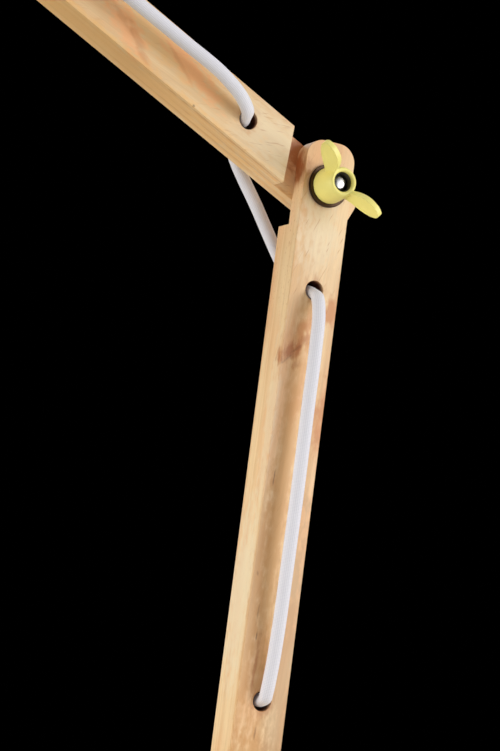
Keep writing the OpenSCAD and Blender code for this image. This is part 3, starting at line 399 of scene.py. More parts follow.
# Glazed porcelain: warm white, with a wet shine
glazedPorcelain = finishMaterial(
    "glazedPorcelain", "#EDE7DA", grit=1.0, drift=0.05, bump=0.03, roughness=0.25)
# Extruded PVC round the wires: brown and half matt
extrudedPvc = finishMaterial("extrudedPvc", "#6E3B22", grit=0.6, drift=0.08, bump=0.05, roughness=0.5)
# Pressed wool felt: dark, hairy and without shine
pressedFelt = finishMaterial(
    "pressedFelt", "#4A4A4C", grit=0.9, drift=0.2, bump=0.6, roughness=0.95, Sheen_Weight=0.3)
# Woven nylon: black, coarse to the light, with a faint sheen
wovenNylon = finishMaterial(
    "wovenNylon", "#1F1F21", grit=0.8, drift=0.2, bump=0.5, roughness=0.75, Sheen_Weight=0.2)
braidedCotton = braidMaterial()
pineOf = {bar: pineMaterial(bar) for bar in pineBars}
print("materials:", len(bpy.data.materials))


# Mesh helpers
def intoScene(name, data):
    made = bpy.data.objects.new(name, data)
    scene.collection.objects.link(made)
    return made


def newPiece(name, mesh, material):
    piece = intoScene(name, mesh)
    mesh.materials.clear()
    mesh.materials.append(material)
    return piece


def meshFrom(bm, name, sharpDeg=35):
    bmesh.ops.recalc_face_normals(bm, faces=bm.faces)
    made = bpy.data.meshes.new(name)
    bm.to_mesh(made)
    bm.free()
    made.shade_smooth()
    made.set_sharp_from_angle(angle=math.radians(sharpDeg))
    return made


def plainMesh(piece):
    # The evaluated form as a plain mesh, with no modifier left
    depsgraph = bpy.context.evaluated_depsgraph_get()
    made = bpy.data.meshes.new_from_object(piece.evaluated_get(depsgraph))
    piece.modifiers.clear()
    piece.data = made
    return made


def settle(piece, body, slot, *replaced):
    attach(piece, body)
    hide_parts(*replaced)
    return piece


def arcPoints(centre, radius, fromDeg, toDeg, steps):
    turns = [math.radians(fromDeg + (toDeg - fromDeg) * i / steps) for i in range(steps + 1)]
    return [(centre[0] + radius * math.cos(a), centre[1] + radius * math.sin(a)) for a in turns]


def turnedMesh(name, outline, place, sides=96):
    # An outline of (radius, height) in millimetres, turned about the height axis, closed or ending on it
    bm = bmesh.new()
    turns = [2 * math.pi * k / sides for k in range(sides)]
    rings = []
    for radius, height in outline:
        if radius == 0:
            rings.append([bm.verts.new((0, 0, height * mm))] * sides)
            continue
        spots = [Vector((radius * math.cos(a), radius * math.sin(a), height)) * mm for a in turns]
        rings.append([bm.verts.new(spot) for spot in spots])
    closed = outline[0][0] > 0
    for i in range(len(rings) if closed else len(rings) - 1):
        ringA, ringB = rings[i], rings[(i + 1) % len(rings)]
        for k in range(sides):
            corners = [ringA[k], ringA[(k + 1) % sides], ringB[(k + 1) % sides], ringB[k]]
            corners = [c for j, c in enumerate(corners) if c not in corners[:j]]
            if len(corners) > 2:
                bm.faces.new(corners)
    bm.transform(place)
    return meshFrom(bm, name)


# Broken edges: an edge sharper than sharpDeg is rounded, in fewer steps where its break is small
softening = {"merge": 0.002, "flatDeg": 0.5, "sharpDeg": 42, "small": 0.5, "smallSteps": 2}


def softenedCopy(name, nodeName, edgeBreak, material, steps=3):
    # A copy of a CAD solid; edgeBreak is the break in millimetres, or a function that gives it for an edge
    bm = bmesh.new()
    bm.from_mesh(cadNodes[nodeName].data)
    bmesh.ops.remove_doubles(bm, verts=bm.verts, dist=softening["merge"] * mm)
    bmesh.ops.dissolve_limit(
        bm, angle_limit=math.radians(softening["flatDeg"]), verts=bm.verts, edges=bm.edges)
    sharp = math.radians(softening["sharpDeg"])
    broken = set()
    while True:
        found = {}
        for edge in bm.edges:
            if len(edge.link_faces) == 2 and edge.is_convex and edge.calc_face_angle() > sharp:
                width = edgeBreak(edge) if callable(edgeBreak) else edgeBreak
                found.setdefault(width, []).append(edge)
        left = sorted(set(found) - broken)
        if not left:
            break
        width = left[0]
        broken.add(width)
        bmesh.ops.bevel(
            bm, geom=found[width], offset=width * mm, offset_type="OFFSET", profile=0.5, affect="EDGES",
            segments=steps if width > softening["small"] else softening["smallSteps"], clamp_overlap=True)
    piece = newPiece(name, meshFrom(bm, name), material)
    weighted = piece.modifiers.new("weighted", "WEIGHTED_NORMAL")
    weighted.keep_sharp = True
    plainMesh(piece)
    return piece


def melted(piece, voxel, passes, keep):
    # Every edge drowned soft: remeshed, smoothed, and thinned to a share of its faces
    remesh = piece.modifiers.new("remesh", "REMESH")
    remesh.mode = "VOXEL"
    remesh.voxel_size = voxel * mm
    smooth = piece.modifiers.new("smooth", "SMOOTH")
    smooth.factor = 0.5
    smooth.iterations = passes
    fewer = piece.modifiers.new("fewer", "DECIMATE")
    fewer.ratio = keep
    made = plainMesh(piece)
    made.shade_smooth()
    return made


# Geometry Nodes helpers
def newTree(name, inputs, output):
    tree = bpy.data.node_groups.new(name, "GeometryNodeTree")
    for socketName, kind in inputs.items():
        tree.interface.new_socket(name=socketName, in_out="INPUT", socket_type="NodeSocket" + kind)
    tree.interface.new_socket(name=output, in_out="OUTPUT", socket_type="NodeSocketGeometry")
    return tree, partial(addNode, tree)


def setInputs(modifier, values):
    for item in modifier.node_group.interface.items_tree:
        if item.in_out == "INPUT" and item.name in values:
            modifier[item.identifier] = values[item.name]


# Cords, in millimetres on their bar or, with no bar, in the lamp's own frame
cord = {"diameter": 6.1, "sides": 24, "step": 1.2, "seam": 0.01}
cordRoutes = {
    "lower": [
        (0, 0, 49), (0, -5, 49.3), (0, -9.7, 49.9), (0, -12.6, 51.2), (0, -15.2, 54.4), (0, -17.2, 60),
        (0, -18.4, 76), (0, -18.3, 102), (0, -18.3, 140), (0, -17.6, 178), (-0.2, -16.4, 204),
        (-0.1, -14.9, 222), (0.2, -13.8, 231.2), (0.1, -12.2, 235.2), (0, -9.7, 236.4), (0, -5, 236),
        (0, 0, 236)],
    "elbowLow": [
        (8, 16, 31.7), (3.4, 15.5, 38.4), (0.9, 13.9, 43.8), (0.3, 12.5, 46.9), (0, 9.7, 48.2), (0, 5, 48.7),
        (0, 0, 49)],
    "baseHigh": [(0, 0, 236), (0, 5, 236), (0, 11.5, 236.8), (0, 16.5, 241.5), (0, 18.5, 248)],
    "upper": [
        (0, 0, 49), (0, -5, 49.3), (0.2, -9.7, 49.9), (0.8, -12.6, 51.2), (1.6, -15.4, 54.4), (3, -18, 60.5),
        (4.3, -19.3, 70), (4.3, -19.7, 96), (3.6, -20.4, 123), (2.6, -20.6, 150), (1.8, -19.6, 180),
        (1, -17.4, 206), (0.5, -14.3, 224), (0.4, -13.7, 230.6), (0.2, -12.4, 234), (0, -9.7, 235.2),
        (0, -5, 236), (0, 0, 236)],
    "elbowHigh": [
        (0, 0, 49), (0, 5, 48.7), (-0.2, 9.7, 48.3), (-1, 12.4, 47), (-2.9, 14.2, 44.4), (-5.2, 15.8, 40.5),
        (-20.3, 16.2, 13.9)],
    "headLow": [
        (0, 0, 236), (0, 5, 236), (-0.5, 10.5, 237), (-1.5, 14.5, 240.5), (-3, 16, 245.5), (-16, 16.5, 292)],
    "headHigh": [(-3, 16, 46.5), (-1.5, 14.5, 52), (0, 10.5, 55.5), (0, 5, 57), (0, 2, 57)],
    "baseLow": [(6, 20, 104), (3.5, 20.5, 84), (1.5, 20.5, 62), (0, 20, 44), (0, 20, 30)],
    "inner": [
        (0, 20, 30), (0, 20, 18), (0, 21.5, 12.5), (0, 25.5, 8.5), (0, 31, 7), (0, 50, 7), (0, 72, 7),
        (0, 94, 7), (0, 116, 7)],
    "lead": [
        (0, 116, 7), (0, 121, 7), (0, 129, 6), (-1, 138, 5), (-4, 150, 3.8), (-12, 163, 3.3), (-24, 171, 3.8),
        (-38, 173, 6), (-50, 173, 8), (-58, 173, 8.5), (-68, 173, 8.5)],
    "link": [
        (-122, 173, 8.5), (-132, 173, 8.5), (-142, 173, 7.5), (-156, 173, 5.3), (-172, 173, 3.95),
        (-182, 173, 3.95), (-193.9, 173, 3.95)],
    "tail": [
        (-206.1, 173, 10.75), (-212, 173, 10.75), (-221, 172.5, 10), (-234, 170.5, 8.3), (-248, 165, 7),
        (-262, 158, 7)],
}
coil = {"turns": 3, "radius": 46, "step": 6.8, "rings": 24, "start": (-200, 173, 3.95)}
# Where the cord bends into a bar's front, it is pressed flat against the hole's lip
pressed = {"reach": 8.5, "keep": 0.45, "spots": [
    {"at": (0, -10.5, 50.2), "away": (0, -0.35, -1)},
    {"at": (0.1, -10.5, 236), "away": (0, -0.35, 1)}]}


def laidRoute(route, bar="base"):
    return [onBar(bar) @ (Vector(p) * mm) for p in cordRoutes[route]]


def coilPoints():
    # Turns spiral in, climb a layer where they reverse, and spiral out again
    half = coil["turns"] * coil["rings"]
    middle = Vector(coil["start"]) - Vector((0, coil["radius"], 0))
    points = []
    for k in range(2 * half + 1):
        turn = math.radians(90 + 360 * k / coil["rings"])
        radius = coil["radius"] - coil["step"] * (half - abs(k - half)) / coil["rings"]
        climb = min(1, max(0, (k - half + coil["rings"] / 4) / (coil["rings"] / 2)))
        spot = Vector((radius * math.cos(turn), radius * math.sin(turn), coil["step"] * climb))
        points.append((middle + spot) * mm)
    return points


def smoothLine(points, step):
    # One smooth curve through the points, with headings weighted by the two chords at each point
    chords = [(b - a).length for a, b in zip(points, points[1:])]
    slopes = [(b - a) / d for a, b, d in zip(points, points[1:], chords)]
    heads = [slopes[0]]
    for i in range(1, len(points) - 1):
        heads.append((slopes[i - 1] * chords[i] + slopes[i] * chords[i - 1]) / (chords[i - 1] + chords[i]))
    heads.append(slopes[-1])
    line = [points[0]]
    for i, d in enumerate(chords):
        pieces = max(2, math.ceil(d / step))
        for k in range(1, pieces + 1):
            t = k / pieces
            spot = points[i] * (2 * t ** 3 - 3 * t ** 2 + 1) + points[i + 1] * (3 * t ** 2 - 2 * t ** 3)
            bend = heads[i] * (t ** 3 - 2 * t ** 2 + t) + heads[i + 1] * (t ** 3 - t ** 2)
            line.append(spot + bend * d)
    return line


def lineLength(line):
    return sum((b - a).length for a, b in zip(line, line[1:]))


def cordTree():
    # A round skin along a curve, with a weave map: turns round the cord, metres along it
    tree, add = newTree("cordSkin", {
        "Curve": "Geometry", "Radius": "Float", "Sides": "Int", "Yarn": "Material"}, "Skin")
    given = add("NodeGroupInput").outputs
    place = add("GeometryNodeSplineParameter").outputs
    line = add(attributeNode, {"Geometry": given["Curve"], "Name": "along", "Value": place["Length"]},
               data_type="FLOAT", domain="POINT")
    points = add(mathNode, [given["Sides"], 1.0], "ADD")
    ring = add("GeometryNodeCurveArc", {
        "Resolution": points, "Radius": given["Radius"], "Sweep Angle": 2 * math.pi}, mode="RADIUS")
    ringLine = add(attributeNode, {"Geometry": ring, "Name": "around", "Value": place["Factor"]},
                   data_type="FLOAT", domain="POINT")
    skin = add("GeometryNodeCurveToMesh", {"Curve": line, "Profile Curve": ringLine})
    around = add("GeometryNodeInputNamedAttribute", {"Name": "around"}, data_type="FLOAT")
    along = add("GeometryNodeInputNamedAttribute", {"Name": "along"}, data_type="FLOAT")
    weave = add("ShaderNodeCombineXYZ", [around, along])
    mapped = add(attributeNode, {"Geometry": skin, "Name": "weave", "Value": weave},
                 data_type="FLOAT2", domain="CORNER")
    joined = add("GeometryNodeMergeByDistance", {"Geometry": mapped, "Distance": cord["seam"] * mm})
    real = add("GeometryNodeRealizeInstances", [joined])
    dyed = add("GeometryNodeSetMaterial", {"Geometry": real, "Material": given["Yarn"]})
    add("NodeGroupOutput", {"Skin": dyed})
    return tree


cordSkin = cordTree()


def pressFlat(mesh, bar):
    for spot in pressed["spots"]:
        lip = onBar(bar) @ (Vector(spot["at"]) * mm)
        away = (onBar(bar).to_3x3() @ Vector(spot["away"])).normalized()
        for vertex in mesh.vertices:
            near = 1 - (vertex.co - lip).length / (pressed["reach"] * mm)
            rise = (vertex.co - lip).dot(away)
            if near > 0 and rise > 0:
                vertex.co -= away * rise * (1 - pressed["keep"]) * near * near * (3 - 2 * near)


def cordTube(name, points):
    line = smoothLine(points, cord["step"] * mm)
    curve = bpy.data.curves.new(name + "Line", "CURVE")
    curve.dimensions = "3D"
    spline = curve.splines.new("POLY")
    spline.points.add(len(line) - 1)
    for point, spot in zip(spline.points, line):
        point.co = (*spot, 1)
    guide = intoScene(name + "Guide", curve)
    skin = guide.modifiers.new("skin", "NODES")
    skin.node_group = cordSkin
    setInputs(skin, {"Radius": cord["diameter"] / 2 * mm, "Sides": cord["sides"], "Yarn": braidedCotton})
    depsgraph = bpy.context.evaluated_depsgraph_get()
    made = bpy.data.meshes.new_from_object(guide.evaluated_get(depsgraph))
    bpy.data.objects.remove(guide)
    bm = bmesh.new()
    bm.from_mesh(made)
    ends = [edge for edge in bm.edges if edge.is_boundary]
    bmesh.ops.holes_fill(bm, edges=ends, sides=0)
    bmesh.ops.recalc_face_normals(bm, faces=bm.faces)
    bm.to_mesh(made)
    bm.free()
    made.shade_smooth()
    piece = newPiece(name, made, braidedCotton)
    return piece, line


for bar, body in (("lower", "lower_arm"), ("upper", "upper_arm")):
    threaded, threadedLine = cordTube("cord_along_" + bar, laidRoute(bar, bar))
    pressFlat(threaded.data, bar)
    settle(threaded, body, "braid", "cord_" + bar)

crossings = {
    "elbow": {"points": laidRoute("elbowHigh", "upper") + laidRoute("elbowLow", "lower"),
              "bodies": ("upper_arm", "lower_arm")},
    "head": {"points": laidRoute("headLow", "upper") + laidRoute("headHigh", "head"),
             "bodies": ("upper_arm", "head")},
    "base": {"points": laidRoute("baseHigh", "lower") + laidRoute("baseLow"),
             "bodies": ("lower_arm", "base")},
}
for name, crossing in crossings.items():
    bridge, bridgeLine = cordTube("cord_over_" + name, crossing["points"])
    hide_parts("cord_" + name)
    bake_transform(bridge)

buried, buriedLine = cordTube("cord_in_base", laidRoute("inner"))
settle(buried, "base", "braid", "cord_inner")
lead, leadLine = cordTube("cord_to_switch", laidRoute("lead"))
settle(lead, "base", "braid", "cord_lead")
coiled, coiledLine = cordTube("cord_to_plug", laidRoute("link") + coilPoints() + laidRoute("tail"))
settle(coiled, "base", "braid", "cord_link", "cord_coil", "cord_tail")
print("cords: in base %.3f m, lead %.3f m, coiled %.3f m" % tuple(
    lineLength(line) for line in (buriedLine, leadLine, coiledLine)))


# Wooden bars and the base: hole radii and edge breaks in millimetres
wooden = {"arris": 0.6, "holeBreak": 0.3, "boltHole": 4.06, "cordHole": 4.5, "discTop": 3.5, "discFoot": 1.2,
          "rimReach": 0.5}
onFace = 0.1 * mm  # an edge this near to a face counts as on it
onWall = 0.05 * mm  # and so near to a round wall
armSpan = (elbow - basePivot).length / mm
woodNodes = {
    "lower": {"node": "lower_arm", "body": "lower_arm", "bolts": (0, armSpan)},
    "upper": {"node": "upper_arm", "body": "upper_arm", "bolts": (0, armSpan)},
    "head": {"node": "head_bar", "body": "head", "bolts": (0,)},
    "post": {"node": "base_post", "body": "base", "bolts": (0,)},
}


def barBreak(bar, edge):
    holes = [(z, wooden["boltHole"]) for z in woodNodes[bar]["bolts"]]
    holes += [(z, wooden["cordHole"]) for z in pineBars[bar]["holes"]]
    for z, radius in holes:
        axis = onBar(bar) @ Vector((0, 0, z * mm))
        gaps = [abs(math.hypot(v.co.x - axis.x, v.co.z - axis.z) - radius * mm) for v in edge.verts]
        if max(gaps) < onWall:
            return wooden["holeBreak"]
    return wooden["arris"]


for bar, wood in woodNodes.items():
    rod = softenedCopy("wood_" + wood["node"], wood["node"], partial(barBreak, bar), pineOf[bar])
    settle(rod, wood["body"], "pine", wood["node"])

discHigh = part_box("base_disc")[1]


def discBreak(edge):
    reach = max(math.hypot(v.co.x, v.co.y) for v in edge.verts)
    if reach < discHigh.x - wooden["rimReach"] * mm:
        return wooden["holeBreak"]
    top = min(v.co.z for v in edge.verts) > discHigh.z - onFace
    return wooden["discTop"] if top else wooden["discFoot"]


disc = softenedCopy("wood_base_disc", "base_disc", discBreak, pineOf["base"], steps=5)
settle(disc, "base", "pine", "base_disc")
print("wooden pieces made")

# Wing nuts: a turned hub and two dished wings, cast in one, with every edge drowned soft by the enamel
nut = {
    "bore": 4.6, "mouth": 13.3, "voxel": 0.25, "passes": 5, "keep": 0.35,
    "wingThick": 2.7, "wingStep": 0.7, "border": 1.3, "dish": 0.5,
    "hub": [
        (8.4, 0), (8.4, 1), (8.1, 4), (7.5, 9), (6.95, 12.2), (6.6, 13.3), (6.05, 14), (5.4, 14),
        (4.9, 13.6)],
    "wing": [
        (5.8, 5.8), (8.4, 7.6), (10.8, 9.5), (13.8, 11.5), (17, 14), (19.6, 17), (21.1, 20.5), (20.6, 23),
        (18.2, 24.4), (14.6, 24.3), (11.1, 22.7), (8.7, 19.8), (7.1, 16.5), (5.8, 12.8)],
}
# The steel thread in a nut's bore: dark grooves, one turn to a ring
thread = {"inner": 4.1, "groove": 4.55, "mouth": 4.7, "outer": 4.9, "pitch": 1.25, "turns": 10, "sides": 64}
# Two thin washers, one on the other
washer = {"outline": [
    (4.2, 0.2), (4.4, 0), (9.7, 0), (9.95, 0.2), (10, 0.4), (9.95, 0.6), (9.6, 0.8), (9.95, 1), (10, 1.2),
    (9.95, 1.4), (9.7, 1.6), (4.4, 1.6), (4.2, 1.4)]}
# The bolt from its end in the nut's mouth to the dome at the back
bolt = {
    "tip": [(0, 0), (1.4, 0.05), (2.3, 0.16)], "radius": 4, "chamfer": 1.1, "crown": 0.3, "shank": 32,
    "domeRadius": 12.654, "domeFrom": 52.2, "domeMiddle": 24.246, "domeSteps": 12,
}
pivots = {
    "base": {"at": basePivot, "nutTurn": 20, "washerOn": "lower_arm", "boltOn": "base"},
    "elbow": {"at": elbow, "nutTurn": 130.5, "washerOn": "lower_arm", "boltOn": "upper_arm"},
    "head": {"at": headPivot, "nutTurn": 75, "washerOn": "head", "boltOn": "upper_arm"},
}


def nutMesh():
    bm = bmesh.new()
    hub = [(nut["bore"], 0), *nut["hub"], (nut["bore"], nut["mouth"])]
    bm.from_mesh(turnedMesh("nutHub", hub, Matrix()))
    corners = [Vector((r, 0, h)) * mm for r, h in (*nut["wing"], nut["wing"][0])]
    outline = smoothLine(corners, nut["wingStep"] * mm)[:-1]
    half = nut["wingThick"] / 2 * mm
    for side in (1, -1):
        front = [bm.verts.new((side * p.x, half, p.z)) for p in outline]
        back = [bm.verts.new((side * p.x, -half, p.z)) for p in outline]
        wing = [bm.faces.new(front), bm.faces.new(back[::-1])]
        rim = []
        for k in range(len(outline)):
            after = (k + 1) % len(outline)
            rim.append(bm.faces.new((front[k], back[k], back[after], front[after])))
        bmesh.ops.recalc_face_normals(bm, faces=wing + rim)
        bmesh.ops.inset_region(bm, faces=wing, thickness=nut["border"] * mm, depth=-nut["dish"] * mm)
    cast = newPiece("castNut", meshFrom(bm, "castNut"), lemonEnamel)
    made = melted(cast, nut["voxel"], nut["passes"], nut["keep"])
    bpy.data.objects.remove(cast)
    return made


def threadOutline():
    outline = [(thread["outer"], 0), (thread["mouth"], 0)]
    for k in range(thread["turns"]):
        outline.append((thread["inner"], (k + 0.25) * thread["pitch"]))
        outline.append((thread["groove"], (k + 0.75) * thread["pitch"]))
    return [*outline, (thread["outer"], thread["turns"] * thread["pitch"])]


def boltOutline():
    radius, rise = bolt["radius"], bolt["chamfer"] + bolt["crown"]
    middle, reach = bolt["domeMiddle"], bolt["domeRadius"]
    dome = arcPoints((0, middle), reach, 90 - bolt["domeFrom"], 90, bolt["domeSteps"])
    return [*bolt["tip"], (radius - bolt["chamfer"], bolt["crown"]), (radius, rise), (radius, bolt["shank"]),
            *dome[:-1], (0, middle + reach)]


def facing(place, turn):
    # A frame whose height points to the front and whose x axis is turned from +X towards +Z
    c, s = math.cos(math.radians(turn)), math.sin(math.radians(turn))
    return Matrix.Translation(place) @ Matrix(((c, -s, 0), (0, 0, -1), (s, c, 0))).to_4x4()


plainNut = nutMesh()
for name, pivot in pivots.items():
    at = pivot["at"]
    nutSeat = (at.x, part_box(name + "_wing_nut")[1].y, at.z)
    shaped = plainNut.copy()
    shaped.transform(facing(nutSeat, pivot["nutTurn"]))
    wings = newPiece("wing_nut_" + name, shaped, lemonEnamel)
    settle(wings, name + "_nut", "lemon_enamel", name + "_wing_nut")
    sleeve = turnedMesh("thread_" + name, threadOutline(), facing(nutSeat, 0), thread["sides"])
    settle(newPiece("nut_thread_" + name, sleeve, rolledSteel), name + "_nut", "steel")
    washerSeat = (at.x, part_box(name + "_washer")[1].y, at.z)
    ring = turnedMesh("washer_" + name, washer["outline"], facing(washerSeat, 0))
    settle(newPiece("washer_" + name, ring, brownedSteel), pivot["washerOn"], "dark_washer", name + "_washer")
    boltTip = Matrix.Translation((at.x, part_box(name + "_bolt")[0].y, at.z))
    stud = turnedMesh("bolt_" + name, boltOutline(), boltTip @ Matrix.Rotation(math.radians(-90), 4, "X"))
    settle(newPiece("coach_bolt_" + name, stud, zincSteel), pivot["boltOn"], "zinc_steel", name + "_bolt")
print("pivots made")

# The lamp head, in millimetres down the lamp's axis from the underside of the head bar
shadeLow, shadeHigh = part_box("shade")
shadeMiddle = (shadeLow + shadeHigh) / 2
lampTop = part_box("nipple_nut")[1].z
onLamp = Matrix.Translation((shadeMiddle.x, shadeMiddle.y, lampTop)) @ Matrix.Rotation(math.pi, 4, "X")
shade = {
    "neck": 19.6, "top": 30, "wall": 1, "shoulder": (32.64, 35), "shoulderRadius": 5, "shoulderSteps": 8,
    "slope": -22.2, "rim": (84.46, 150), "rimRadius": 1.6, "bead": (-72, 252), "beadSteps": 24, "sides": 160,
}
outerShoulder, innerShoulder = [
    arcPoints(shade["shoulder"], shade["shoulderRadius"] - inset, -90, shade["slope"], shade["shoulderSteps"])
    for inset in (0, shade["wall"])]
beadFrom, beadTo = [shade["slope"] + turn for turn in shade["bead"]]
bead = arcPoints(shade["rim"], shade["rimRadius"], beadFrom, beadTo, shade["beadSteps"])
cone = turnedMesh("shade", [
    (shade["neck"], shade["top"]), *outerShoulder, *bead, *innerShoulder[::-1],
    (shade["neck"], shade["top"] + shade["wall"])], onLamp, shade["sides"])
settle(newPiece("spun_shade", cone, shadeEnamel), "head", "shade_lacquer", "shade")

# The bulb: bend holds points out from the neck's wall, on the way from the neck to the globe
bulb = {
    "neck": 12.3, "from": 56, "bend": [(0, 68), (0, 74), (2.2, 81.5)], "bendStep": 2.0, "middle": 112,
    "radius": 30, "wall": 1, "meet": -40, "steps": 28,
}


def bulbLine(inset):
    globe = arcPoints((0, bulb["middle"]), bulb["radius"] - inset, bulb["meet"], 90, bulb["steps"])[:-1]
    neck = bulb["neck"] - inset
    bend = [Vector((neck + out, height)) for out, height in bulb["bend"]] + [Vector(globe[0])]
    return [(neck, bulb["from"]), *[tuple(p) for p in smoothLine(bend, bulb["bendStep"])][:-1], *globe]


bulbTip = bulb["middle"] + bulb["radius"]
glass = turnedMesh("bulb", [
    *bulbLine(0), (0, bulbTip), (0, bulbTip - bulb["wall"]), *bulbLine(bulb["wall"])[::-1]], onLamp)
settle(newPiece("opal_bulb", glass, opalGlass), "head", "opal_glass", "bulb_glass")

# Lampholder: edge breaks, and the grip ribs round its ring
holder = {"capBreak": 1.2, "bodyBreak": 0.5, "ringBreak": 0.5, "nutBreak": 0.4}
grip = {"count": 40, "reach": 24.7, "radius": 0.7, "height": 6.4, "middle": 35, "sides": 12}
for nodeName, width in (("holder_cap", holder["capBreak"]), ("holder_body", holder["bodyBreak"])):
    shell = softenedCopy("soft_" + nodeName, nodeName, width, mouldedAbs)
    settle(shell, "head", "white_plastic", nodeName)


def ribTree():
    tree, add = newTree("gripRibs", {
        "Ring": "Geometry", "Count": "Int", "Reach": "Float", "Rib Radius": "Float", "Rib Height": "Float",
        "Middle": "Vector", "Plastic": "Material"}, "Ribbed")
    given = add("NodeGroupInput").outputs
    circle = add("GeometryNodeMeshCircle", {"Vertices": given["Count"], "Radius": given["Reach"]})
    placed = add("GeometryNodeTransform", {"Geometry": circle, "Translation": given["Middle"]})
    rib = add("GeometryNodeMeshCylinder", {
        "Vertices": grip["sides"], "Radius": given["Rib Radius"], "Depth": given["Rib Height"]})
    ribs = add("GeometryNodeInstanceOnPoints", {"Points": placed, "Instance": rib})
    together = add("GeometryNodeJoinGeometry", [given["Ring"]])
    tree.links.new(ribs.outputs[0], together.inputs[0])
    real = add("GeometryNodeRealizeInstances", [together])
    dyed = add("GeometryNodeSetMaterial", {"Geometry": real, "Material": given["Plastic"]})
    add("NodeGroupOutput", {"Ribbed": dyed})
    return tree


ringPiece = softenedCopy("ribbed_holder_ring", "holder_ring", holder["ringBreak"], mouldedAbs)
ribs = ringPiece.modifiers.new("ribs", "NODES")
ribs.node_group = ribTree()
setInputs(ribs, {
    "Count": grip["count"], "Reach": grip["reach"] * mm, "Rib Radius": grip["radius"] * mm,
    "Rib Height": grip["height"] * mm, "Middle": onLamp @ Vector((0, 0, grip["middle"] * mm)),
    "Plastic": mouldedAbs})
plainMesh(ringPiece)
settle(ringPiece, "head", "white_plastic", "holder_ring")
nipple = softenedCopy("soft_nipple_nut", "nipple_nut", holder["nutBreak"], drawnBrass)
settle(nipple, "head", "brass", "nipple_nut")
print("lamp head made")

# Mains side: bush, relief, switch, plug and the strap round the coil
sleeves = {"edge": 0.35}
for nodeName in ("cord_bush", "cord_relief"):
    sleeve = softenedCopy("soft_" + nodeName, nodeName, sleeves["edge"], mouldedAbs)
    settle(sleeve, "base", "white_plastic", nodeName)

switchBox = {"edge": 2.6, "foot": 0.8, "seam": 0.3, "rocker": 0.5}
switchLow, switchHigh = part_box("switch_bottom")
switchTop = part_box("switch_top")[1].z
switchMid = (switchLow + switchHigh) / 2
switchRound = (switchHigh.y - switchLow.y) / 2
switchRun = (switchHigh.x - switchLow.x) / 2 - switchRound


def switchBreak(edge):
    # Only edges on the outer wall are well rounded, at the top and a little at the foot
    for v in edge.verts:
        past = max(0.0, abs(v.co.x - switchMid.x) - switchRun)
        if abs(math.hypot(past, v.co.y - switchMid.y) - switchRound) > onWall:
            return switchBox["seam"]
    height = min(v.co.z for v in edge.verts)
    if height > switchTop - onFace:
        return switchBox["edge"]
    return switchBox["foot"] if height < onFace else switchBox["seam"]


for nodeName in ("switch_bottom", "switch_top"):
    shell = softenedCopy("soft_" + nodeName, nodeName, switchBreak, mouldedAbs, steps=5)
    settle(shell, "base", "white_plastic", nodeName)
rocker = softenedCopy("soft_switch_rocker", "switch_rocker", switchBox["rocker"], mouldedAbs)
settle(rocker, "rocker", "white_plastic", "switch_rocker")

# The plug's body: a moulding with every edge well rounded
plug = {"voxel": 0.45, "passes": 45, "keep": 0.4}
moulding = newPiece("moulded_plug", cadNodes["plug_body"].data.copy(), mouldedAbs)
melted(moulding, plug["voxel"], plug["passes"], plug["keep"])
settle(moulding, "base", "white_plastic", "plug_body")

# The strap: a flat band round the coil's bundle, with rounded corners
strap = {"thick": 0.7, "corner": 3.2, "cornerSteps": 6}
tieLow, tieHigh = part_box("coil_tie")
bm = bmesh.new()
loops = []
for inset in (0, strap["thick"] * mm):
    corner = strap["corner"] * mm - inset
    low = tieLow + Vector((0, inset + corner, inset + corner))
    high = tieHigh - Vector((0, inset + corner, inset + corner))
    outline = []
    for k, (y, z) in enumerate(((high.y, high.z), (low.y, high.z), (low.y, low.z), (high.y, low.z))):
        outline += arcPoints((y, z), corner, 90 * k, 90 * k + 90, strap["cornerSteps"])
    loops += [[bm.verts.new((x, y, z)) for y, z in outline] for x in (tieLow.x, tieHigh.x)]
outNear, outFar, inNear, inFar = loops
for k in range(len(outNear)):
    after = (k + 1) % len(outNear)
    for one, two in ((outNear, outFar), (outFar, inFar), (inFar, inNear), (inNear, outNear)):
        bm.faces.new((one[k], one[after], two[after], two[k]))
band = newPiece("coil_strap", meshFrom(bm, "coil_strap"), wovenNylon)
settle(band, "base", "strap", "coil_tie")

print("mains side made")

# CAD nodes that stay as they are
finishOf = {
    "felt_pad": pressedFelt, "ballast_plate": rolledSteel, "ballast_screws": zincSteel,
    "post_screws": zincSteel, "holder_nipple": drawnBrass, "holder_insert": glazedPorcelain,
    "holder_sleeve": drawnBrass, "holder_contact": drawnBrass, "holder_leads": extrudedPvc,
    "bulb_cap": zincSteel, "switch_screws": zincSteel, "switch_terminals": drawnBrass,
    "plug_pins": nickelPlate,
}
for nodeName, material in finishOf.items():
    cadNodes[nodeName].material_slots[0].material = material

# A round pale floor, painted and matt
stage = {"radius": 0.55, "centre": (-0.13, 0.05), "drop": 0.3, "segments": 128, "colour": "#E4E2DD"}
bm = bmesh.new()
bmesh.ops.create_circle(bm, cap_ends=True, segments=stage["segments"], radius=stage["radius"])
bm.transform(Matrix.Translation((*stage["centre"], -stage["drop"] * mm)))
mattPaint = finishMaterial("mattPaint", stage["colour"], grit=4.0, drift=0.02, bump=0.0, roughness=0.8)
floor = newPiece("floor", meshFrom(bm, "floor"), mattPaint)

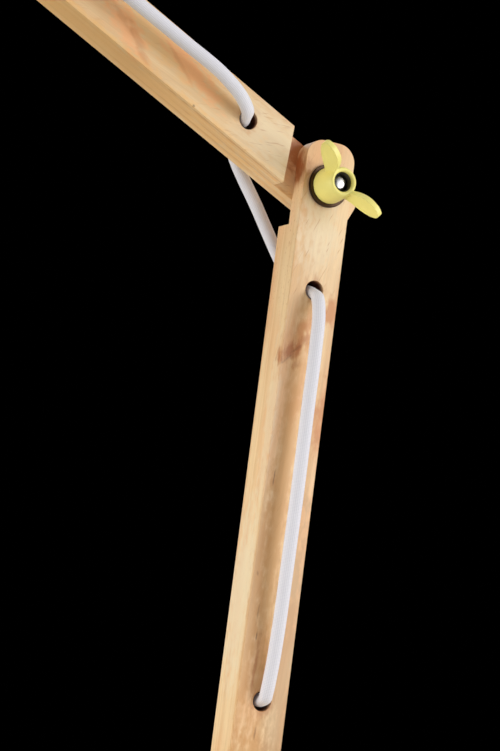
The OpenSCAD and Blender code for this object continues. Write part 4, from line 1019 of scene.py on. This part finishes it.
# Soft lamps, in metres and watts, all aimed close to the elbow
lampAim = Vector((0.0, 0.0, 0.36))
lamps = {
    "glance": {"at": (0.9, -1.05, 0.27), "size": 0.85, "watts": 9.7},
    "right": {"at": (1.06, -0.89, 0.36), "size": 0.7, "watts": 3.9},
    "left": {"at": (-1.36, 0.15, 0.36), "size": 0.8, "watts": 12.5},
    "top": {"at": (0.0, -0.12, 1.55), "size": 0.8, "watts": 2.5},
    "behind": {"at": (0.35, 1.4, 0.62), "size": 1.2, "watts": 7},
}
for name, lamp in lamps.items():
    light = bpy.data.lights.new(name + "Lamp", "AREA")
    light.size = lamp["size"]
    light.energy = lamp["watts"]
    lampStand = intoScene(name + "Lamp", light)
    lampStand.location = lamp["at"]
    lampStand.rotation_mode = "QUATERNION"
    lampStand.rotation_quaternion = (lampAim - Vector(lamp["at"])).to_track_quat("-Z", "Y")
    lampStand.visible_camera = False

# Soft light all round, black where the camera, a mirror or glass looks past the lamp
studio = {"light": "#FFFFFF", "strength": 0.42, "past": "#000000"}
world = bpy.data.worlds.new("studio")
scene.world = world
world.use_nodes = True
world.node_tree.nodes.clear()
addSky = partial(addNode, world.node_tree)
rays = addSky("ShaderNodeLightPath").outputs
mirrored = addSky(mathNode, [rays["Is Camera Ray"], rays["Is Glossy Ray"]], "MAXIMUM")
seen = addSky(mathNode, [mirrored, rays["Is Transmission Ray"]], "MAXIMUM")
soft = addSky("ShaderNodeBackground", {"Color": toLinear(studio["light"]), "Strength": studio["strength"]})
dark = addSky("ShaderNodeBackground", {"Color": toLinear(studio["past"]), "Strength": 1.0})
sky = addSky("ShaderNodeMixShader", [seen, soft, dark])
addSky("ShaderNodeOutputWorld", {"Surface": sky})

# The photograph's view, taken as 500 by 751: from the left and a little below
shot = {"at": (-0.3227, -0.6739, 0.2490), "turn": -26.14, "rise": 2.46, "lens": 79.1, "sensor": 36}
view = bpy.data.cameras.new("view")
view.lens = shot["lens"]
view.sensor_width = shot["sensor"]
camera = intoScene("view", view)
camera.location = shot["at"]
camera.rotation_euler = (math.radians(90 + shot["rise"]), 0, math.radians(shot["turn"]))
scene.camera = camera
scene.view_settings.view_transform = "Standard"
print("stage, lamps and camera set")
